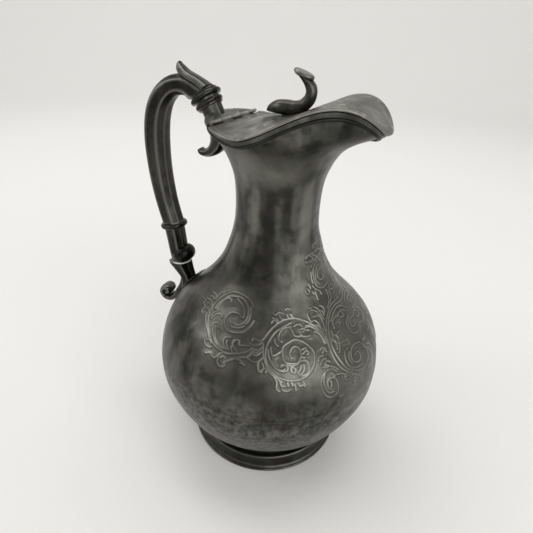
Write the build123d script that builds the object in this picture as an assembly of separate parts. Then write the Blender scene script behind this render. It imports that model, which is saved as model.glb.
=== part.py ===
from build123d import *
import os
from math import cos, pi, radians, sin, sqrt

os.makedirs("parts", exist_ok=True)

# Claret jug with a hinged lid. Millimetres, +Z up, spout towards +X, handle towards -X.
# The origin is the centre of the foot on the plane that the jug stands on.

# body
belly_radius = 72.0
belly_height = 66.0
seam_height = 70.0
neck_radius = 23.8
neck_height = 168.0
mouth_radius = 39.1
mouth_height = 211.0
sheet = 1.2
floor_height = 10.5
floor_radius = 31.0
bowl_samples = 16  # points that the inner line of the bowl goes through

# spout and saddle-shaped rim: heights of the rim seen from the side
spout_reach = 14.4
spout_root = 203.0
rim_back = 212.7
rim_dip = 208.6
rim_dip_x = -12.0
rim_crest = 225.4
rim_crest_x = 35.0
rim_tip = 213.7
moulding_height = 1.7
moulding_drop = 2.0
moulding_proud = 0.9

# foot
foot_radius = 51.2
foot_band_height = 11.4
foot_neck_radius = 42.6
foot_wall = 1.6
wire_radius = 0.9

# lid
lid_gap = 0.3
lid_sheet = 1.1
lid_overhang = 0.7
lid_dome = 5.2
lid_dome_x = -8.0
hinge_x = -28.0
hinge_rise = 2.0
barrel_radius = 1.45
barrel_length = 50.0
knuckle_count = 5
knuckle_gap = 0.2
pin_radius = 0.7
running_clearance = 0.05
leaf_clearance = 0.35

# finial on the lid
finial_x = 2.0
stud_radius = 1.5
stud_clearance = 0.1
nut_radius = 3.4
nut_height = 2.2
button_length = 11.0
button_width = 8.6
button_height = 2.3
button_tilt = 20.0

# handle
grip_width = 14.6
grip_depth = 13.4
collar_radius = 9.0
collar_height = 2.3
collar_x = -45.9
collar_z = 220.9
collar_tilt = 34.0
insulator_height = 1.5
insulator_radius = 6.4
tenon_radius = 3.2
tenon_length = 4.7
crosspin_radius = 0.8
bead_x = -73.2
bead_z = 139.6
bead_radius = 8.7
bead_height = 3.2
lower_joint_x = -68.8
lower_joint_z = 113.4
handle_lean = 11.0
mount_width = 12.0
volute_radius = 6.2
volute_x = -81.6
volute_z = 84.0
leaf_plate = 1.4
seat_gap = 0.15


# ---------------------------------------------------------------- helpers
def hermite(keys, x):
    """Value at x of a smooth curve through (x, value, slope) keys, straight beyond its ends."""
    if x <= keys[0][0]:
        return keys[0][1] + keys[0][2] * (x - keys[0][0])
    for (x0, y0, m0), (x1, y1, m1) in zip(keys, keys[1:]):
        if x <= x1:
            span = x1 - x0
            u = (x - x0) / span
            low = y0 * (1 + 2 * u) + m0 * span * u
            high = y1 * (3 - 2 * u) + m1 * span * (u - 1)
            return low * (1 - u) ** 2 + high * u * u
    return keys[-1][1] + keys[-1][2] * (x - keys[-1][0])


def with_slopes(points):
    """Add to each (x, y) point the slope of the line through its neighbours."""
    keys = []
    for i, (x, y) in enumerate(points):
        before = points[max(i - 1, 0)]
        after = points[min(i + 1, len(points) - 1)]
        keys.append((x, y, (after[1] - before[1]) / (after[0] - before[0])))
    return keys


def save(name, *shapes):
    """Write the named piece as one STEP file."""
    solids = []
    for shape in shapes:
        solids.extend(shape.solids())
    part = solids[0] if len(solids) == 1 else Compound(children=solids)
    part.label = name
    export_step(part, f"parts/{name}.step")
    print(f"{name}: {len(solids)} solid(s), {sum(s.volume for s in solids):.0f} mm3")


# ---------------------------------------------------------------- form of the vessel
# Each pair is a share of the height and a share of the radius between two named sizes.
bowl_form = [(0.0, 0.0), (0.09, 0.21), (0.24, 0.456), (0.43, 0.706), (0.68, 0.9), (0.86, 0.985), (1.0, 1.0)]
shoulder_form = [(0.0, 1.0), (0.04, 0.998), (0.13, 0.968), (0.22, 0.912), (0.295, 0.832), (0.365, 0.71),
                 (0.43, 0.567), (0.5, 0.42), (0.56, 0.315), (0.625, 0.218), (0.69, 0.146), (0.76, 0.09),
                 (0.83, 0.046), (0.91, 0.012), (1.0, 0.0)]
flare_form = [(0.0, 0.0), (0.23, 0.02), (0.42, 0.092), (0.605, 0.27), (0.745, 0.47), (0.86, 0.706),
              (0.95, 0.92), (1.0, 1.0), (1.07, 1.033), (1.25, 1.058), (1.6, 1.08)]
spout_form = [(0.0, 0.0), (0.38, 0.1), (0.6, 0.33), (0.79, 0.84), (0.95, 0.985), (1.2, 1.0), (3.0, 1.0)]
bowl_base_radius = foot_neck_radius - foot_wall
bowl_base_height = 13.4
bowl_keys = with_slopes(bowl_form)
shoulder_keys = with_slopes(shoulder_form)
flare_keys = with_slopes(flare_form)
spout_keys = with_slopes(spout_form)
spout_full = mouth_height + 3.5


def body_radius(z):
    """Outer radius of the vessel, without its spout, at height z."""
    if z < belly_height:
        u = (z - bowl_base_height) / (belly_height - bowl_base_height)
        return bowl_base_radius + hermite(bowl_keys, u) * (belly_radius - bowl_base_radius)
    if z < neck_height:
        u = (z - belly_height) / (neck_height - belly_height)
        return neck_radius + hermite(shoulder_keys, u) * (belly_radius - neck_radius)
    u = (z - neck_height) / (mouth_height - neck_height)
    return neck_radius + hermite(flare_keys, u) * (mouth_radius - neck_radius)


def outline_radius(angle, z):
    """Outer radius of the upper body at an angle from the spout."""
    growth = hermite(spout_keys, (z - spout_root) / (spout_full - spout_root))
    return body_radius(z) + spout_reach * max(growth, 0) * max(cos(angle), 0) ** 4


back_x = -mouth_radius
tip_x = mouth_radius + spout_reach + 0.5
mouth_base = neck_height + 20.0
rim_keys = [(back_x, rim_back, -0.1), (rim_dip_x, rim_dip, 0), (rim_crest_x, rim_crest, 0), (tip_x, rim_tip, -1.5)]


def rim_height(x):
    """Height of the rim at x, the same on both sides of the jug."""
    return hermite(rim_keys, x)


def rim_plan(angle):
    """Plan radius of the rim at an angle from the spout."""
    radius = mouth_radius
    for _ in range(12):
        radius = 0.5 * radius + 0.5 * outline_radius(angle, rim_height(radius * cos(angle)))
    return radius


def wall_inset(z, inset):
    """Horizontal distance that sets the turned wall in by a given thickness square to itself."""
    slope = body_radius(z + 0.5) - body_radius(z - 0.5)
    return inset * sqrt(1 + slope * slope)


mouth_shares = (0.1, 0.2, 0.3, 0.4, 0.48, 0.56, 0.63, 0.7, 0.76, 0.82, 0.87, 0.92, 0.96, 1.0)


def ring_edge(place, count=36):
    """Closed line through place(angle) for angles all round the jug, started at the back."""
    points = [place(pi + 2 * pi * i / count) for i in range(count)]
    return Edge.make_spline(points, periodic=True)


def mouth_point(angle, share, inset):
    """Point of the mouth at a share of the way from its base to the rim, set in by a wall."""
    top = rim_height(rim_plan(angle) * cos(angle))
    z = mouth_base + share * (top - mouth_base)
    radius = outline_radius(angle, z) - wall_inset(z, inset)
    return Vector(radius * cos(angle), radius * sin(angle), z)


def circle_edge(z, inset):
    """Circle of the turned wall at height z, started at the back."""
    ring = Plane(origin=(0, 0, z), x_dir=(-1, 0, 0), z_dir=(0, 0, 1))
    return Edge.make_circle(body_radius(z) - wall_inset(z, inset), ring)


def mouth_rings(inset):
    """Rings of the mouth and spout from the neck to the rim."""
    rings = [circle_edge(mouth_base, inset)]
    for share in mouth_shares:
        rings.append(ring_edge(lambda angle: mouth_point(angle, share, inset)))
    return rings


def strips(rings):
    """Faces between neighbouring rings."""
    return [Face.make_surface_from_curves(low, high) for low, high in zip(rings, rings[1:])]


def moulding_point(angle, drop, proud):
    """Point at a distance below the rim and proud of the wall, square to the wall."""
    z = rim_height(rim_plan(angle) * cos(angle)) - drop
    slope = outline_radius(angle, z + 0.5) - outline_radius(angle, z - 0.5)
    reach = proud / sqrt(1 + slope * slope)
    radius = outline_radius(angle, z) + reach
    return Vector(radius * cos(angle), radius * sin(angle), z - slope * reach)


def neck_block(top, inset=0.0):
    """Solid shoulder and neck, from the seam to a given height, set in by a wall."""
    shoulder = neck_height - belly_height
    levels = [seam_height]
    levels += [belly_height + u * shoulder for u in (0.13, 0.22, 0.295, 0.365, 0.43, 0.5)]
    levels += [belly_height + u * shoulder for u in (0.56, 0.625, 0.69, 0.76, 0.83, 0.91)]
    levels += [neck_height, (neck_height + mouth_base) / 2, mouth_base]
    levels += [mouth_base + 0.1 * i * (top - mouth_base) for i in range(1, 11) if top > mouth_base]
    points = [(wall_inset(z, inset) - body_radius(z), z) for z in levels]
    start = (body_radius(seam_height - 1) - body_radius(seam_height + 1), 2)
    end = (body_radius(top - 1) - body_radius(top + 1), 2)
    side = Spline(*points, tangents=[start, end])
    rest = Polyline(side @ 1, (0, top), (0, seam_height), side @ 0)
    return revolve(Plane.XZ * make_face([side, rest]), Axis.Z)


# ---------------------------------------------------------------- body pieces
def make_lower_bowl():
    """Spun bowl from the floor to the seam at the belly."""
    points = [(body_radius(z), z) for z in (bowl_base_height, 18.0, 26.0, 36.0, 49.0, belly_height, seam_height)]
    side = Spline((floor_radius, floor_height), *points, tangents=[(1, 0.02), (0, 1)])
    floor = Line((0, floor_height), side @ 0)
    inside = []
    for step in range(bowl_samples + 1):
        place = side @ (step / bowl_samples)
        way = side % (step / bowl_samples)
        inside.append((place.X - sheet * way.Y, place.Y + sheet * way.X))
    lining = Spline(*inside, tangents=[side % 0, side % 1])
    seam = Line(side @ 1, inside[-1])
    inner_floor = Line(inside[0], (0, inside[0][1]))
    axis = Line(inner_floor @ 1, (0, floor_height))
    return revolve(Plane.XZ * make_face([floor, side, seam, lining, inner_floor, axis]), Axis.Z)


def make_upper_body():
    """Shoulder, neck and flared mouth with its spout, as one sheet from the seam to the rim."""
    faces = []
    lips = []
    for inset in (0.0, 0.9 * sheet):
        rings = mouth_rings(inset)
        lips.append(rings[-1])
        faces += strips(rings)
        faces += neck_block(mouth_base, inset).faces().filter_by(GeomType.PLANE, reverse=True)
    faces += strips(lips)
    faces += strips([circle_edge(seam_height, 0.0), circle_edge(seam_height, 0.9 * sheet)])
    return Solid(Shell(faces))


def make_rim_moulding():
    """Applied half-round moulding that runs round the outside just below the rim."""
    rings = []
    for drop, proud in ((1.0, 0.0), (0.9, 0.6), (0.7, 0.93), (0.3, 0.93), (0.1, 0.6), (0.0, 0.0)):
        height = seat_gap + proud * moulding_proud
        depth = moulding_drop + drop * moulding_height
        rings.append(ring_edge(lambda angle: moulding_point(angle, depth, height)))
    return Solid(Shell(strips(rings + rings[:1])))


def make_foot_ring():
    """Spread foot: turned band, step and cove up to the bowl."""
    top = foot_band_height
    outer = Polyline((foot_radius, 0), (foot_radius, 2.0), (foot_radius - 0.9, 2.8), (foot_radius - 1.3, top - 1.6))
    bead = ThreePointArc(outer @ 1, (foot_radius - 1.2, top - 0.4), (foot_radius - 2.6, top))
    step = Line(bead @ 1, (foot_radius - 3.6, top))
    cove = ThreePointArc(step @ 1, (foot_neck_radius + 2.0, top + 0.7), (foot_neck_radius, bowl_base_height + 1.2))
    contact = Line(cove @ 1, (bowl_base_radius, bowl_base_height))
    inside = Polyline(contact @ 1, (bowl_base_radius + 0.6, top - 0.9), (foot_radius - 4.6, top - foot_wall),
                      (foot_radius - 3.0, top - 3.4), (foot_radius - foot_wall - 0.6, 2.0),
                      (foot_radius - foot_wall - 0.6, 0), (foot_radius, 0))
    ring = revolve(Plane.XZ * make_face([outer, bead, step, cove, contact, inside]), Axis.Z)
    return ring


def bowl_block():
    """The bowl filled in, to cut what seats on it."""
    points = [(body_radius(z), z) for z in (bowl_base_height, 18.0, 26.0, 36.0, 49.0, belly_height, seam_height)]
    side = Spline((floor_radius, floor_height), *points, tangents=[(1, 0.02), (0, 1)])
    rest = Polyline(points[-1], (0, seam_height), (0, floor_height), (floor_radius, floor_height))
    return revolve(Plane.XZ * make_face([side, rest]), Axis.Z)


def make_foot_wire():
    """Half-round wire soldered round the outside of the foot's lower edge."""
    centre = wire_radius + 0.3
    arc = ThreePointArc((foot_radius, centre - wire_radius), (foot_radius + wire_radius, centre),
                        (foot_radius, centre + wire_radius))
    back = Line(arc @ 1, arc @ 0)
    return revolve(Plane.XZ * make_face([arc, back]), Axis.Z)


# ---------------------------------------------------------------- lid
def dome_height(x):
    """Rise of the lid's centre line above the straight line across the rim."""
    keys = [(hinge_x + 1, 0, 0), (lid_dome_x, lid_dome, 0), (14, 0.9, -0.08), (30, 0.4, 0), (46, 0.1, 0)]
    if x <= keys[0][0]:
        return 0
    return hermite(keys, x)


def half_width(x):
    """Half width of the mouth at x, where the lid's dome runs out."""
    return sqrt(mouth_radius ** 2 - min(x, 0) ** 2) if x > back_x + 4 else 12.0


def lid_section(x, lift):
    """Closed outline across the lid at x."""
    reach = mouth_radius + 6
    half = half_width(x)
    shares = [-1, -0.8, -0.55, -0.28, 0, 0.28, 0.55, 0.8, 1]
    points = [(-reach, 0.0)] + [(s * half, dome_height(x) * (1 - s * s) ** 2) for s in shares] + [(reach, 0.0)]
    base = rim_height(x) + lift
    lower = Edge.make_spline([Vector(x, y, base + z) for y, z in points])
    upper = Edge.make_spline([Vector(x, y, base + lid_sheet + z) for y, z in points])
    left = Edge.make_line(lower @ 0, upper @ 0)
    right = Edge.make_line(lower @ 1, upper @ 1)
    return Wire([lower, right, upper, left])


def plan_block(grow):
    """Upright block with the rim's plan outline, grown by a distance."""
    points = []
    for i in range(32):
        angle = 2 * pi * i / 32
        radius = rim_plan(angle) + grow
        points.append((radius * cos(angle), radius * sin(angle)))
    return extrude(Pos(0, 0, rim_dip - 20) * make_face([Spline(*points, periodic=True)]), amount=80)


hinge_z = rim_height(hinge_x) + hinge_rise
hinge_line = Pos(hinge_x, 0, hinge_z) * Rot(90, 0, 0)


def half_space(front):
    """Large block on one side of the hinge line."""
    size = 4 * belly_radius
    shift = size / 2 if front else -size / 2
    return Pos(hinge_x + shift, 0, hinge_z) * Box(size, size, size)


def cover_blank():
    """The whole cover before it is cut at the hinge."""
    stations = [back_x - 3, -36, -32, hinge_x, -25, -21, -16, -11, -6, -1, 4, 9, 14, 19, 24, 29, 34, 39, 44, 49, 53, 57]
    slab = Solid.make_loft([lid_section(x, lid_gap) for x in stations])
    return slab & plan_block(lid_overhang)


def knuckle_span(index):
    """Start and end of a knuckle along the hinge line."""
    pitch = barrel_length / knuckle_count
    start = -barrel_length / 2 + index * pitch
    return start + knuckle_gap / 2, start + pitch - knuckle_gap / 2


def tube(low, high, radius):
    """Cylinder along the hinge line between two y values."""
    return Pos(hinge_x, (low + high) / 2, hinge_z) * Rot(90, 0, 0) * Cylinder(radius, high - low)


def make_knuckles(cover, front):
    """Hinge tubes of one leaf, each with the strip that joins it to its sheet."""
    indexes = range(1, knuckle_count, 2) if front else range(0, knuckle_count, 2)
    bore = pin_radius + (running_clearance if front else 0)
    pieces = []
    for index in indexes:
        low, high = knuckle_span(index)
        strip = cover & tube(low, high, barrel_radius + leaf_clearance) & half_space(front)
        foot = Pos(hinge_x + (0.8 if front else -0.8), (low + high) / 2, hinge_z - barrel_radius / 2)
        web = foot * Box(1.6, high - low, barrel_radius)
        web = web & tube(low, high, barrel_radius + leaf_clearance)
        piece = tube(low, high, barrel_radius) + strip + web
        pieces.append(piece - tube(-barrel_length, barrel_length, bore))
    return pieces


def make_leaf(cover, front):
    """Front or rear leaf of the cover, cut back round the hinge barrel."""
    leaf = cover & half_space(front)
    return leaf - tube(-barrel_length, barrel_length, barrel_radius + leaf_clearance)


# ---------------------------------------------------------------- finial
def finial_station(x, z, tilt, in_plane, across):
    """Elliptical section in a plane square to the finial's centre line."""
    plane = Plane(origin=(x, 0, z), x_dir=(0, 1, 0), z_dir=(cos(radians(tilt)), 0, sin(radians(tilt))))
    return plane * Ellipse(across, in_plane)


def lid_top(x):
    """Height of the lid's upper side on its centre line."""
    return rim_height(x) + lid_gap + lid_sheet + dome_height(x)


def make_finial(lid):
    """Cast S-scroll: a bean-shaped foot that runs up into a stem."""
    foot = lid_top(finial_x)
    stations = [(-8.6, 1.2, 25, 0.9, 1.6), (-6.6, 2.2, 25, 2.3, 3.4), (-3.2, 3.2, 8, 3.4, 4.6),
                (1.4, 3.4, 0, 3.7, 5.0), (6.0, 3.5, 6, 3.5, 4.6), (10.0, 4.9, 30, 3.2, 4.0),
                (13.2, 8.2, 62, 3.0, 3.5), (13.9, 12.0, 95, 2.8, 3.2), (12.2, 15.6, 122, 2.7, 3.2),
                (10.2, 18.0, 125, 2.9, 3.6)]
    sections = [finial_station(x + finial_x - 2, foot + z, tilt, a, b).face() for x, z, tilt, a, b in stations]
    return loft(sections)


def button_place():
    """Centre plane of the thumb button at the top of the stem."""
    foot = lid_top(finial_x)
    return Pos(9.4 + finial_x - 2, 0, foot + 19.2) * Rot(0, button_tilt, 0)


def make_button():
    """Oval button with a softly domed top."""
    plate = extrude(Ellipse(button_length / 2, button_width / 2), amount=button_height, both=False)
    plate = fillet(plate.edges().group_by(Axis.Z)[-1], 0.45 * button_height)
    plate = chamfer(plate.edges().group_by(Axis.Z)[0], 0.35 * button_height)
    return button_place() * Pos(0, 0, -button_height / 2) * plate


# ---------------------------------------------------------------- handle
def tilted(x, z, lean):
    """Plane whose normal points up along the handle, leaning towards +X at its foot."""
    return Plane(origin=(x, 0, z), x_dir=(cos(radians(lean)), 0, sin(radians(lean))),
                 z_dir=(-sin(radians(lean)), 0, cos(radians(lean))))


def grip_section(width, depth):
    """Eight-sided section with hollowed sides."""
    a = width / 2
    b = depth / 2
    corners = [(a, 0.2 * depth), (0.26 * width, b), (-0.26 * width, b), (-a, 0.2 * depth),
               (-a, -0.2 * depth), (-0.26 * width, -b), (0.26 * width, -b), (a, -0.2 * depth)]
    edges = []
    for i, start in enumerate(corners):
        end = corners[(i + 1) % 8]
        hollow = 0.94 if i % 4 != 3 else 1.02
        middle = ((start[0] + end[0]) / 2 * hollow, (start[1] + end[1]) / 2 * hollow)
        edges.append(ThreePointArc(start, middle, end))
    return make_face(edges)


grip_line = [(-51.4, 223.4, 48, 0.84), (-58.4, 226.0, 88, 0.76), (-66.6, 224.6, 118, 0.76),
             (-73.4, 219.2, 142, 0.86), (-78.0, 211.2, 158, 0.97), (-80.4, 201.6, 172, 1.02),
             (-81.2, 190.0, 180, 1.03), (-80.7, 177.0, 185, 1.0), (-79.2, 165.0, 189, 0.97),
             (-77.0, 153.6, 192, 0.94)]


def grip_frames():
    """Centre, direction and size of each section of the grip, collar end first."""
    top = tilted(collar_x, collar_z, collar_tilt)
    start = top.from_local_coords(Vector(0, 0, collar_height / 2))
    end = tilted(bead_x, bead_z, handle_lean).from_local_coords(Vector(0, 0, bead_height / 2))
    frames = [(start.X, start.Z, collar_tilt, 0.86)]
    frames += grip_line
    frames.append((end.X, end.Z, 180 + handle_lean, 0.93))
    return frames


def make_grip():
    """Hollow-channelled C-shaped grip, lofted through square sections."""
    sections = []
    for x, z, turn, size in grip_frames():
        plane = Plane(origin=(x, 0, z), x_dir=(cos(radians(turn)), 0, sin(radians(turn))),
                      z_dir=(-sin(radians(turn)), 0, cos(radians(turn))))
        sections.append(plane * grip_section(grip_width * size, grip_depth * (0.25 + 0.75 * size)))
    return loft(sections)


def collar(radius, height):
    """Turned collar with a rounded edge, centred on its plane."""
    ring = Cylinder(radius, height)
    return fillet(ring.edges().filter_by(GeomType.CIRCLE), 0.42 * height)


def make_thumb_rest():
    """Leaf on the top of the grip, with its tip lifted clear."""
    top = Spline((-60.9, 237.4), (-56.2, 233.4), (-50.0, 231.0), (-43.4, 228.0))
    tip = ThreePointArc((-60.9, 237.4), (-62.6, 235.6), (-64.6, 230.6))
    under = Spline((-64.6, 230.6), (-60.0, 229.2), (-54.0, 227.4), (-47.0, 222.6))
    end = Line(under @ 1, top @ 1)
    side = extrude(Plane.XZ * make_face([top, end, under, tip]), amount=grip_depth, both=True)
    outline = [(-66, 1.4), (-61.5, 4.8), (-57.0, 5.6), (-51.0, 5.4), (-45.0, 5.8), (-41.0, 6.0)]
    low = Spline(*[(x, -y) for x, y in outline])
    high = Spline(*outline)
    front = make_face([low, Line(low @ 1, high @ 1), high, Line(high @ 0, low @ 0)])
    return side & extrude(Pos(0, 0, 200) * front, amount=60)


def tenon(plane, low, high):
    """Round peg along a joint's axis."""
    return plane.location * Pos(0, 0, (low + high) / 2) * Cylinder(tenon_radius, high - low)


def make_insulator(plane):
    """Insulating disc with a tenon on each side."""
    disc = plane.location * Cylinder(insulator_radius, insulator_height)
    reach = insulator_height / 2 + tenon_length
    return disc + tenon(plane, -reach, reach)


def crosspins(plane):
    """Two pins through the tenons of one insulator, across the handle."""
    away = insulator_height / 2 + collar_height + 1.25 * crosspin_radius
    pins = []
    for side in (-away, away):
        pins.append(plane.location * Pos(0, 0, side) * Rot(90, 0, 0) * Cylinder(crosspin_radius, pin_length))
    return pins


pin_length = 10.4
upper_joint = tilted(collar_x, collar_z, collar_tilt)
insulator_drop = collar_height / 2 + insulator_height / 2
mid = upper_joint.from_local_coords(Vector(0, 0, -insulator_drop))
insulator_plane = tilted(mid.X, mid.Z, collar_tilt)
low_ring = upper_joint.from_local_coords(Vector(0, 0, -insulator_drop * 2))
mount_plane = tilted(low_ring.X, low_ring.Z, collar_tilt)
lower_plane = tilted(lower_joint_x, lower_joint_z, handle_lean - 4)


def make_upper_mount():
    """Cast mount from the collar over the rim to the back of the neck, with a curled tail."""
    outer = mount_plane.from_local_coords(Vector(-6.9, 0, -collar_height / 2))
    inner = mount_plane.from_local_coords(Vector(6.9, 0, -collar_height / 2))
    left = Spline((outer.X, outer.Z), (-44.6, 209.6), (-42.6, 204.4), (-43.0, 198.6), (-45.4, 194.0), (-49.6, 191.4))
    tail = ThreePointArc(left @ 1, (-50.2, 190.0), (-48.6, 189.0))
    under = Spline(tail @ 1, (-43.8, 188.6), (-38.6, 191.2), (-33.0, 195.2), (-24.0, 197.0))
    inside = Polyline(under @ 1, (-24.0, 206.0), (-33.2, 212.0))
    right = Spline(inside @ 1, (-34.2, 217.2), (inner.X, inner.Z))
    top = Line(right @ 1, left @ 0)
    side = extrude(Plane.XZ * make_face([left, tail, under, inside, right, top]), amount=mount_width, both=True)
    outline = [(182, 2.6), (190.5, 4.2), (198, 5.0), (207, 5.6), (215, 6.2), (222, 6.6), (232, 6.8)]
    low = Spline(*[(-y, z) for z, y in outline])
    high = Spline(*outline_swap(outline))
    front = make_face([low, Line(low @ 1, high @ 1), high, Line(high @ 0, low @ 0)])
    return side & extrude(Plane.YZ * front, amount=-90)


def outline_swap(outline):
    """Swap the members of each pair."""
    return [(y, z) for z, y in outline]


def make_lower_mount():
    """Cast S-scroll bracket that ends in an outward volute."""
    left_top = lower_plane.from_local_coords(Vector(-6.9, 0, -insulator_height / 2))
    right_top = lower_plane.from_local_coords(Vector(6.2, 0, -insulator_height / 2))
    left = Spline((left_top.X - 1.0, left_top.Z + 0.2), (-72.0, 107.6), (-68.6, 101.6), (-69.4, 95.6),
                  (-73.6, 91.0), (-77.4, 89.6))
    volute = ThreePointArc(left @ 1, (volute_x - volute_radius, volute_z), (-78.6, 78.4))
    under = Spline(volute @ 1, (-74.0, 79.0), (-64.0, 80.0))
    inside = Polyline(under @ 1, (-50.0, 96.0), (-50.6, 103.6))
    right = Spline(inside @ 1, (-57.6, 103.4), (-58.6, 108.4), (right_top.X, right_top.Z))
    top = Line(right @ 1, left @ 0)
    side = extrude(Plane.XZ * make_face([left, volute, under, inside, right, top]), amount=mount_width, both=True)
    outline = [(70, 5.6), (80, 5.4), (88, 5.0), (97, 4.6), (105, 5.4), (112, 6.2), (118, 6.4)]
    low = Spline(*[(-y, z) for z, y in outline])
    high = Spline(*outline_swap(outline))
    front = make_face([low, Line(low @ 1, high @ 1), high, Line(high @ 0, low @ 0)])
    bracket = side & extrude(Plane.YZ * front, amount=-130)
    eye = Pos(volute_x + 0.6, 0, volute_z) * Rot(90, 0, 0) * Cylinder(0.42 * volute_radius, 2 * 5.4 + 2.4)
    return bracket + eye


def make_ferrule():
    """Tapered lower end of the handle between the bead and the insulator."""
    start = tilted(bead_x, bead_z, handle_lean).from_local_coords(Vector(0, 0, -bead_height / 2))
    end = lower_plane.from_local_coords(Vector(0, 0, insulator_height / 2))
    sections = []
    for share, size in ((0.0, 0.87), (0.5, 0.86), (1.0, 0.86)):
        x = start.X + (end.X - start.X) * share
        z = start.Z + (end.Z - start.Z) * share
        lean = handle_lean - 4 * share
        plane = tilted(x, z, lean)
        sections.append(plane * grip_section(grip_width * size, grip_depth * (0.25 + 0.75 * size)))
    return loft(sections)


def make_knuckle():
    """Rounded bud round the foot of the ferrule, fullest towards the body."""
    seat = lower_plane.location * Pos(0, 0, insulator_height / 2)
    bud = seat * Pos(2.6, 0, 4.6) * Rot(0, -28, 0)
    profile = ThreePointArc((0, 4.9), (8.2, 0), (0, -4.9))
    lobe = revolve(Plane.XZ * make_face([profile, Line(profile @ 1, profile @ 0)]), Axis.Z)
    cap = seat * Pos(0, 0, 10) * Box(40, 40, 20)
    return (bud * lobe) & cap


def make_shoulder_leaf():
    """Leaf-shaped plate between the lower mount and the shoulder."""
    skin = neck_block(mouth_base, -leaf_plate) - neck_block(mouth_base, -seat_gap)
    half = [(-16.0, 0.6), (-10.0, 5.0), (-2.0, 7.4), (6.0, 6.2), (12.0, 3.6), (17.0, 0.5)]
    low = Spline(*[(x, -y) for x, y in half])
    high = Spline(*half)
    outline = make_face([low, Line(low @ 1, high @ 1), high, Line(high @ 0, low @ 0)])
    slope = 52
    place = Plane(origin=(-60.5, 0, 97.5), x_dir=(cos(radians(slope)), 0, sin(radians(slope))),
                  z_dir=(-sin(radians(slope)), 0, cos(radians(slope))))
    prism = extrude(place * outline, amount=8, both=True)
    return skin & prism


# ---------------------------------------------------------------- build
lower_bowl = make_lower_bowl()
save("lower_bowl", lower_bowl)
upper_body = make_upper_body()
save("upper_body", upper_body)
filled_body = neck_block(rim_back, -seat_gap)
foot_ring = make_foot_ring() - bowl_block()
save("foot_ring", foot_ring)
save("foot_wire", make_foot_wire())
rim_moulding = make_rim_moulding()
save("rim_moulding", rim_moulding)

cover = cover_blank()
rear_cover = make_leaf(cover, False)
save("rear_cover", rear_cover)
save("rear_knuckles", *make_knuckles(cover, False))
save("lid_knuckles", *make_knuckles(cover, True))
save("hinge_pin", tube(-barrel_length / 2, barrel_length / 2, pin_radius))

stud_top = lid_top(finial_x) + 4.0
stud_low = lid_top(finial_x) - lid_sheet - nut_height - 0.8
stud = Pos(finial_x, 0, (stud_top + stud_low) / 2) * Cylinder(stud_radius, stud_top - stud_low)
lid_leaf = make_leaf(cover, True) - Pos(finial_x, 0, rim_dip) * Cylinder(stud_radius + stud_clearance, 60)
save("lid_leaf", lid_leaf)
button = make_button()
finial = make_finial(cover) - stud - button
below_lid = Solid.extrude(Face.make_rect(40, 40), Vector(0, 0, -40)).moved(Location((finial_x, 0, lid_top(finial_x) - lid_sheet)))
finial = (finial - cover - below_lid).solids().sort_by(SortBy.VOLUME)[-1]
save("finial", finial)
save("finial_button", button)
save("finial_stud", stud)
nut = extrude(Pos(finial_x, 0, stud_low + 0.8) * RegularPolygon(nut_radius, 6), amount=nut_height)
save("finial_nut", nut - stud - cover)

upper_insulator = make_insulator(insulator_plane)
lower_insulator = make_insulator(lower_plane)
pins = crosspins(insulator_plane) + crosspins(lower_plane)
upper_insulator = upper_insulator - pins[0] - pins[1]
lower_insulator = lower_insulator - pins[2] - pins[3]
save("upper_insulator", upper_insulator)
save("lower_insulator", lower_insulator)
save("insulator_pins", *pins)

tenon_reach = insulator_height / 2 + tenon_length
upper_hole = tenon(insulator_plane, -tenon_reach, tenon_reach)
lower_hole = tenon(lower_plane, -tenon_reach, tenon_reach)
grip_collar = upper_joint.location * collar(collar_radius, collar_height) - upper_hole
save("grip_collar", grip_collar)
mount_collar = mount_plane.location * collar(0.9 * collar_radius, collar_height) - upper_hole
save("mount_collar", mount_collar)
upper_mount = make_upper_mount() - filled_body - rear_cover - rim_moulding
upper_mount = upper_mount - upper_hole - pins[0] - pins[1]
upper_mount = upper_mount.solids().sort_by(SortBy.VOLUME)[-1]
save("upper_mount", upper_mount)

grip = make_grip() - upper_hole - pins[0] - pins[1]
thumb_rest = make_thumb_rest() - grip - (upper_joint.location * Cylinder(collar_radius + 1, collar_height))
save("thumb_rest", thumb_rest.solids().sort_by(SortBy.VOLUME)[-1])
save("handle_grip", grip)
bead_plane = tilted(bead_x, bead_z, handle_lean)
save("bead_ring", bead_plane.location * collar(bead_radius, bead_height))
ferrule = make_ferrule() - lower_hole - pins[2] - pins[3]
save("lower_ferrule", ferrule)
knuckle = make_knuckle() - make_ferrule() - lower_hole
save("knuckle", knuckle.solids().sort_by(SortBy.VOLUME)[-1])
shoulder_leaf = make_shoulder_leaf()
lower_disc = lower_plane.location * Cylinder(insulator_radius, insulator_height)
lower_mount = make_lower_mount() - filled_body - bowl_block() - shoulder_leaf - lower_hole - lower_disc
lower_mount = lower_mount - pins[2] - pins[3]
lower_mount = lower_mount.solids().sort_by(SortBy.VOLUME)[-1]
save("lower_mount", lower_mount)
save("shoulder_leaf", shoulder_leaf)
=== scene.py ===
import math
import bpy
import bmesh
from mathutils import Matrix, Vector, kdtree


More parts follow.
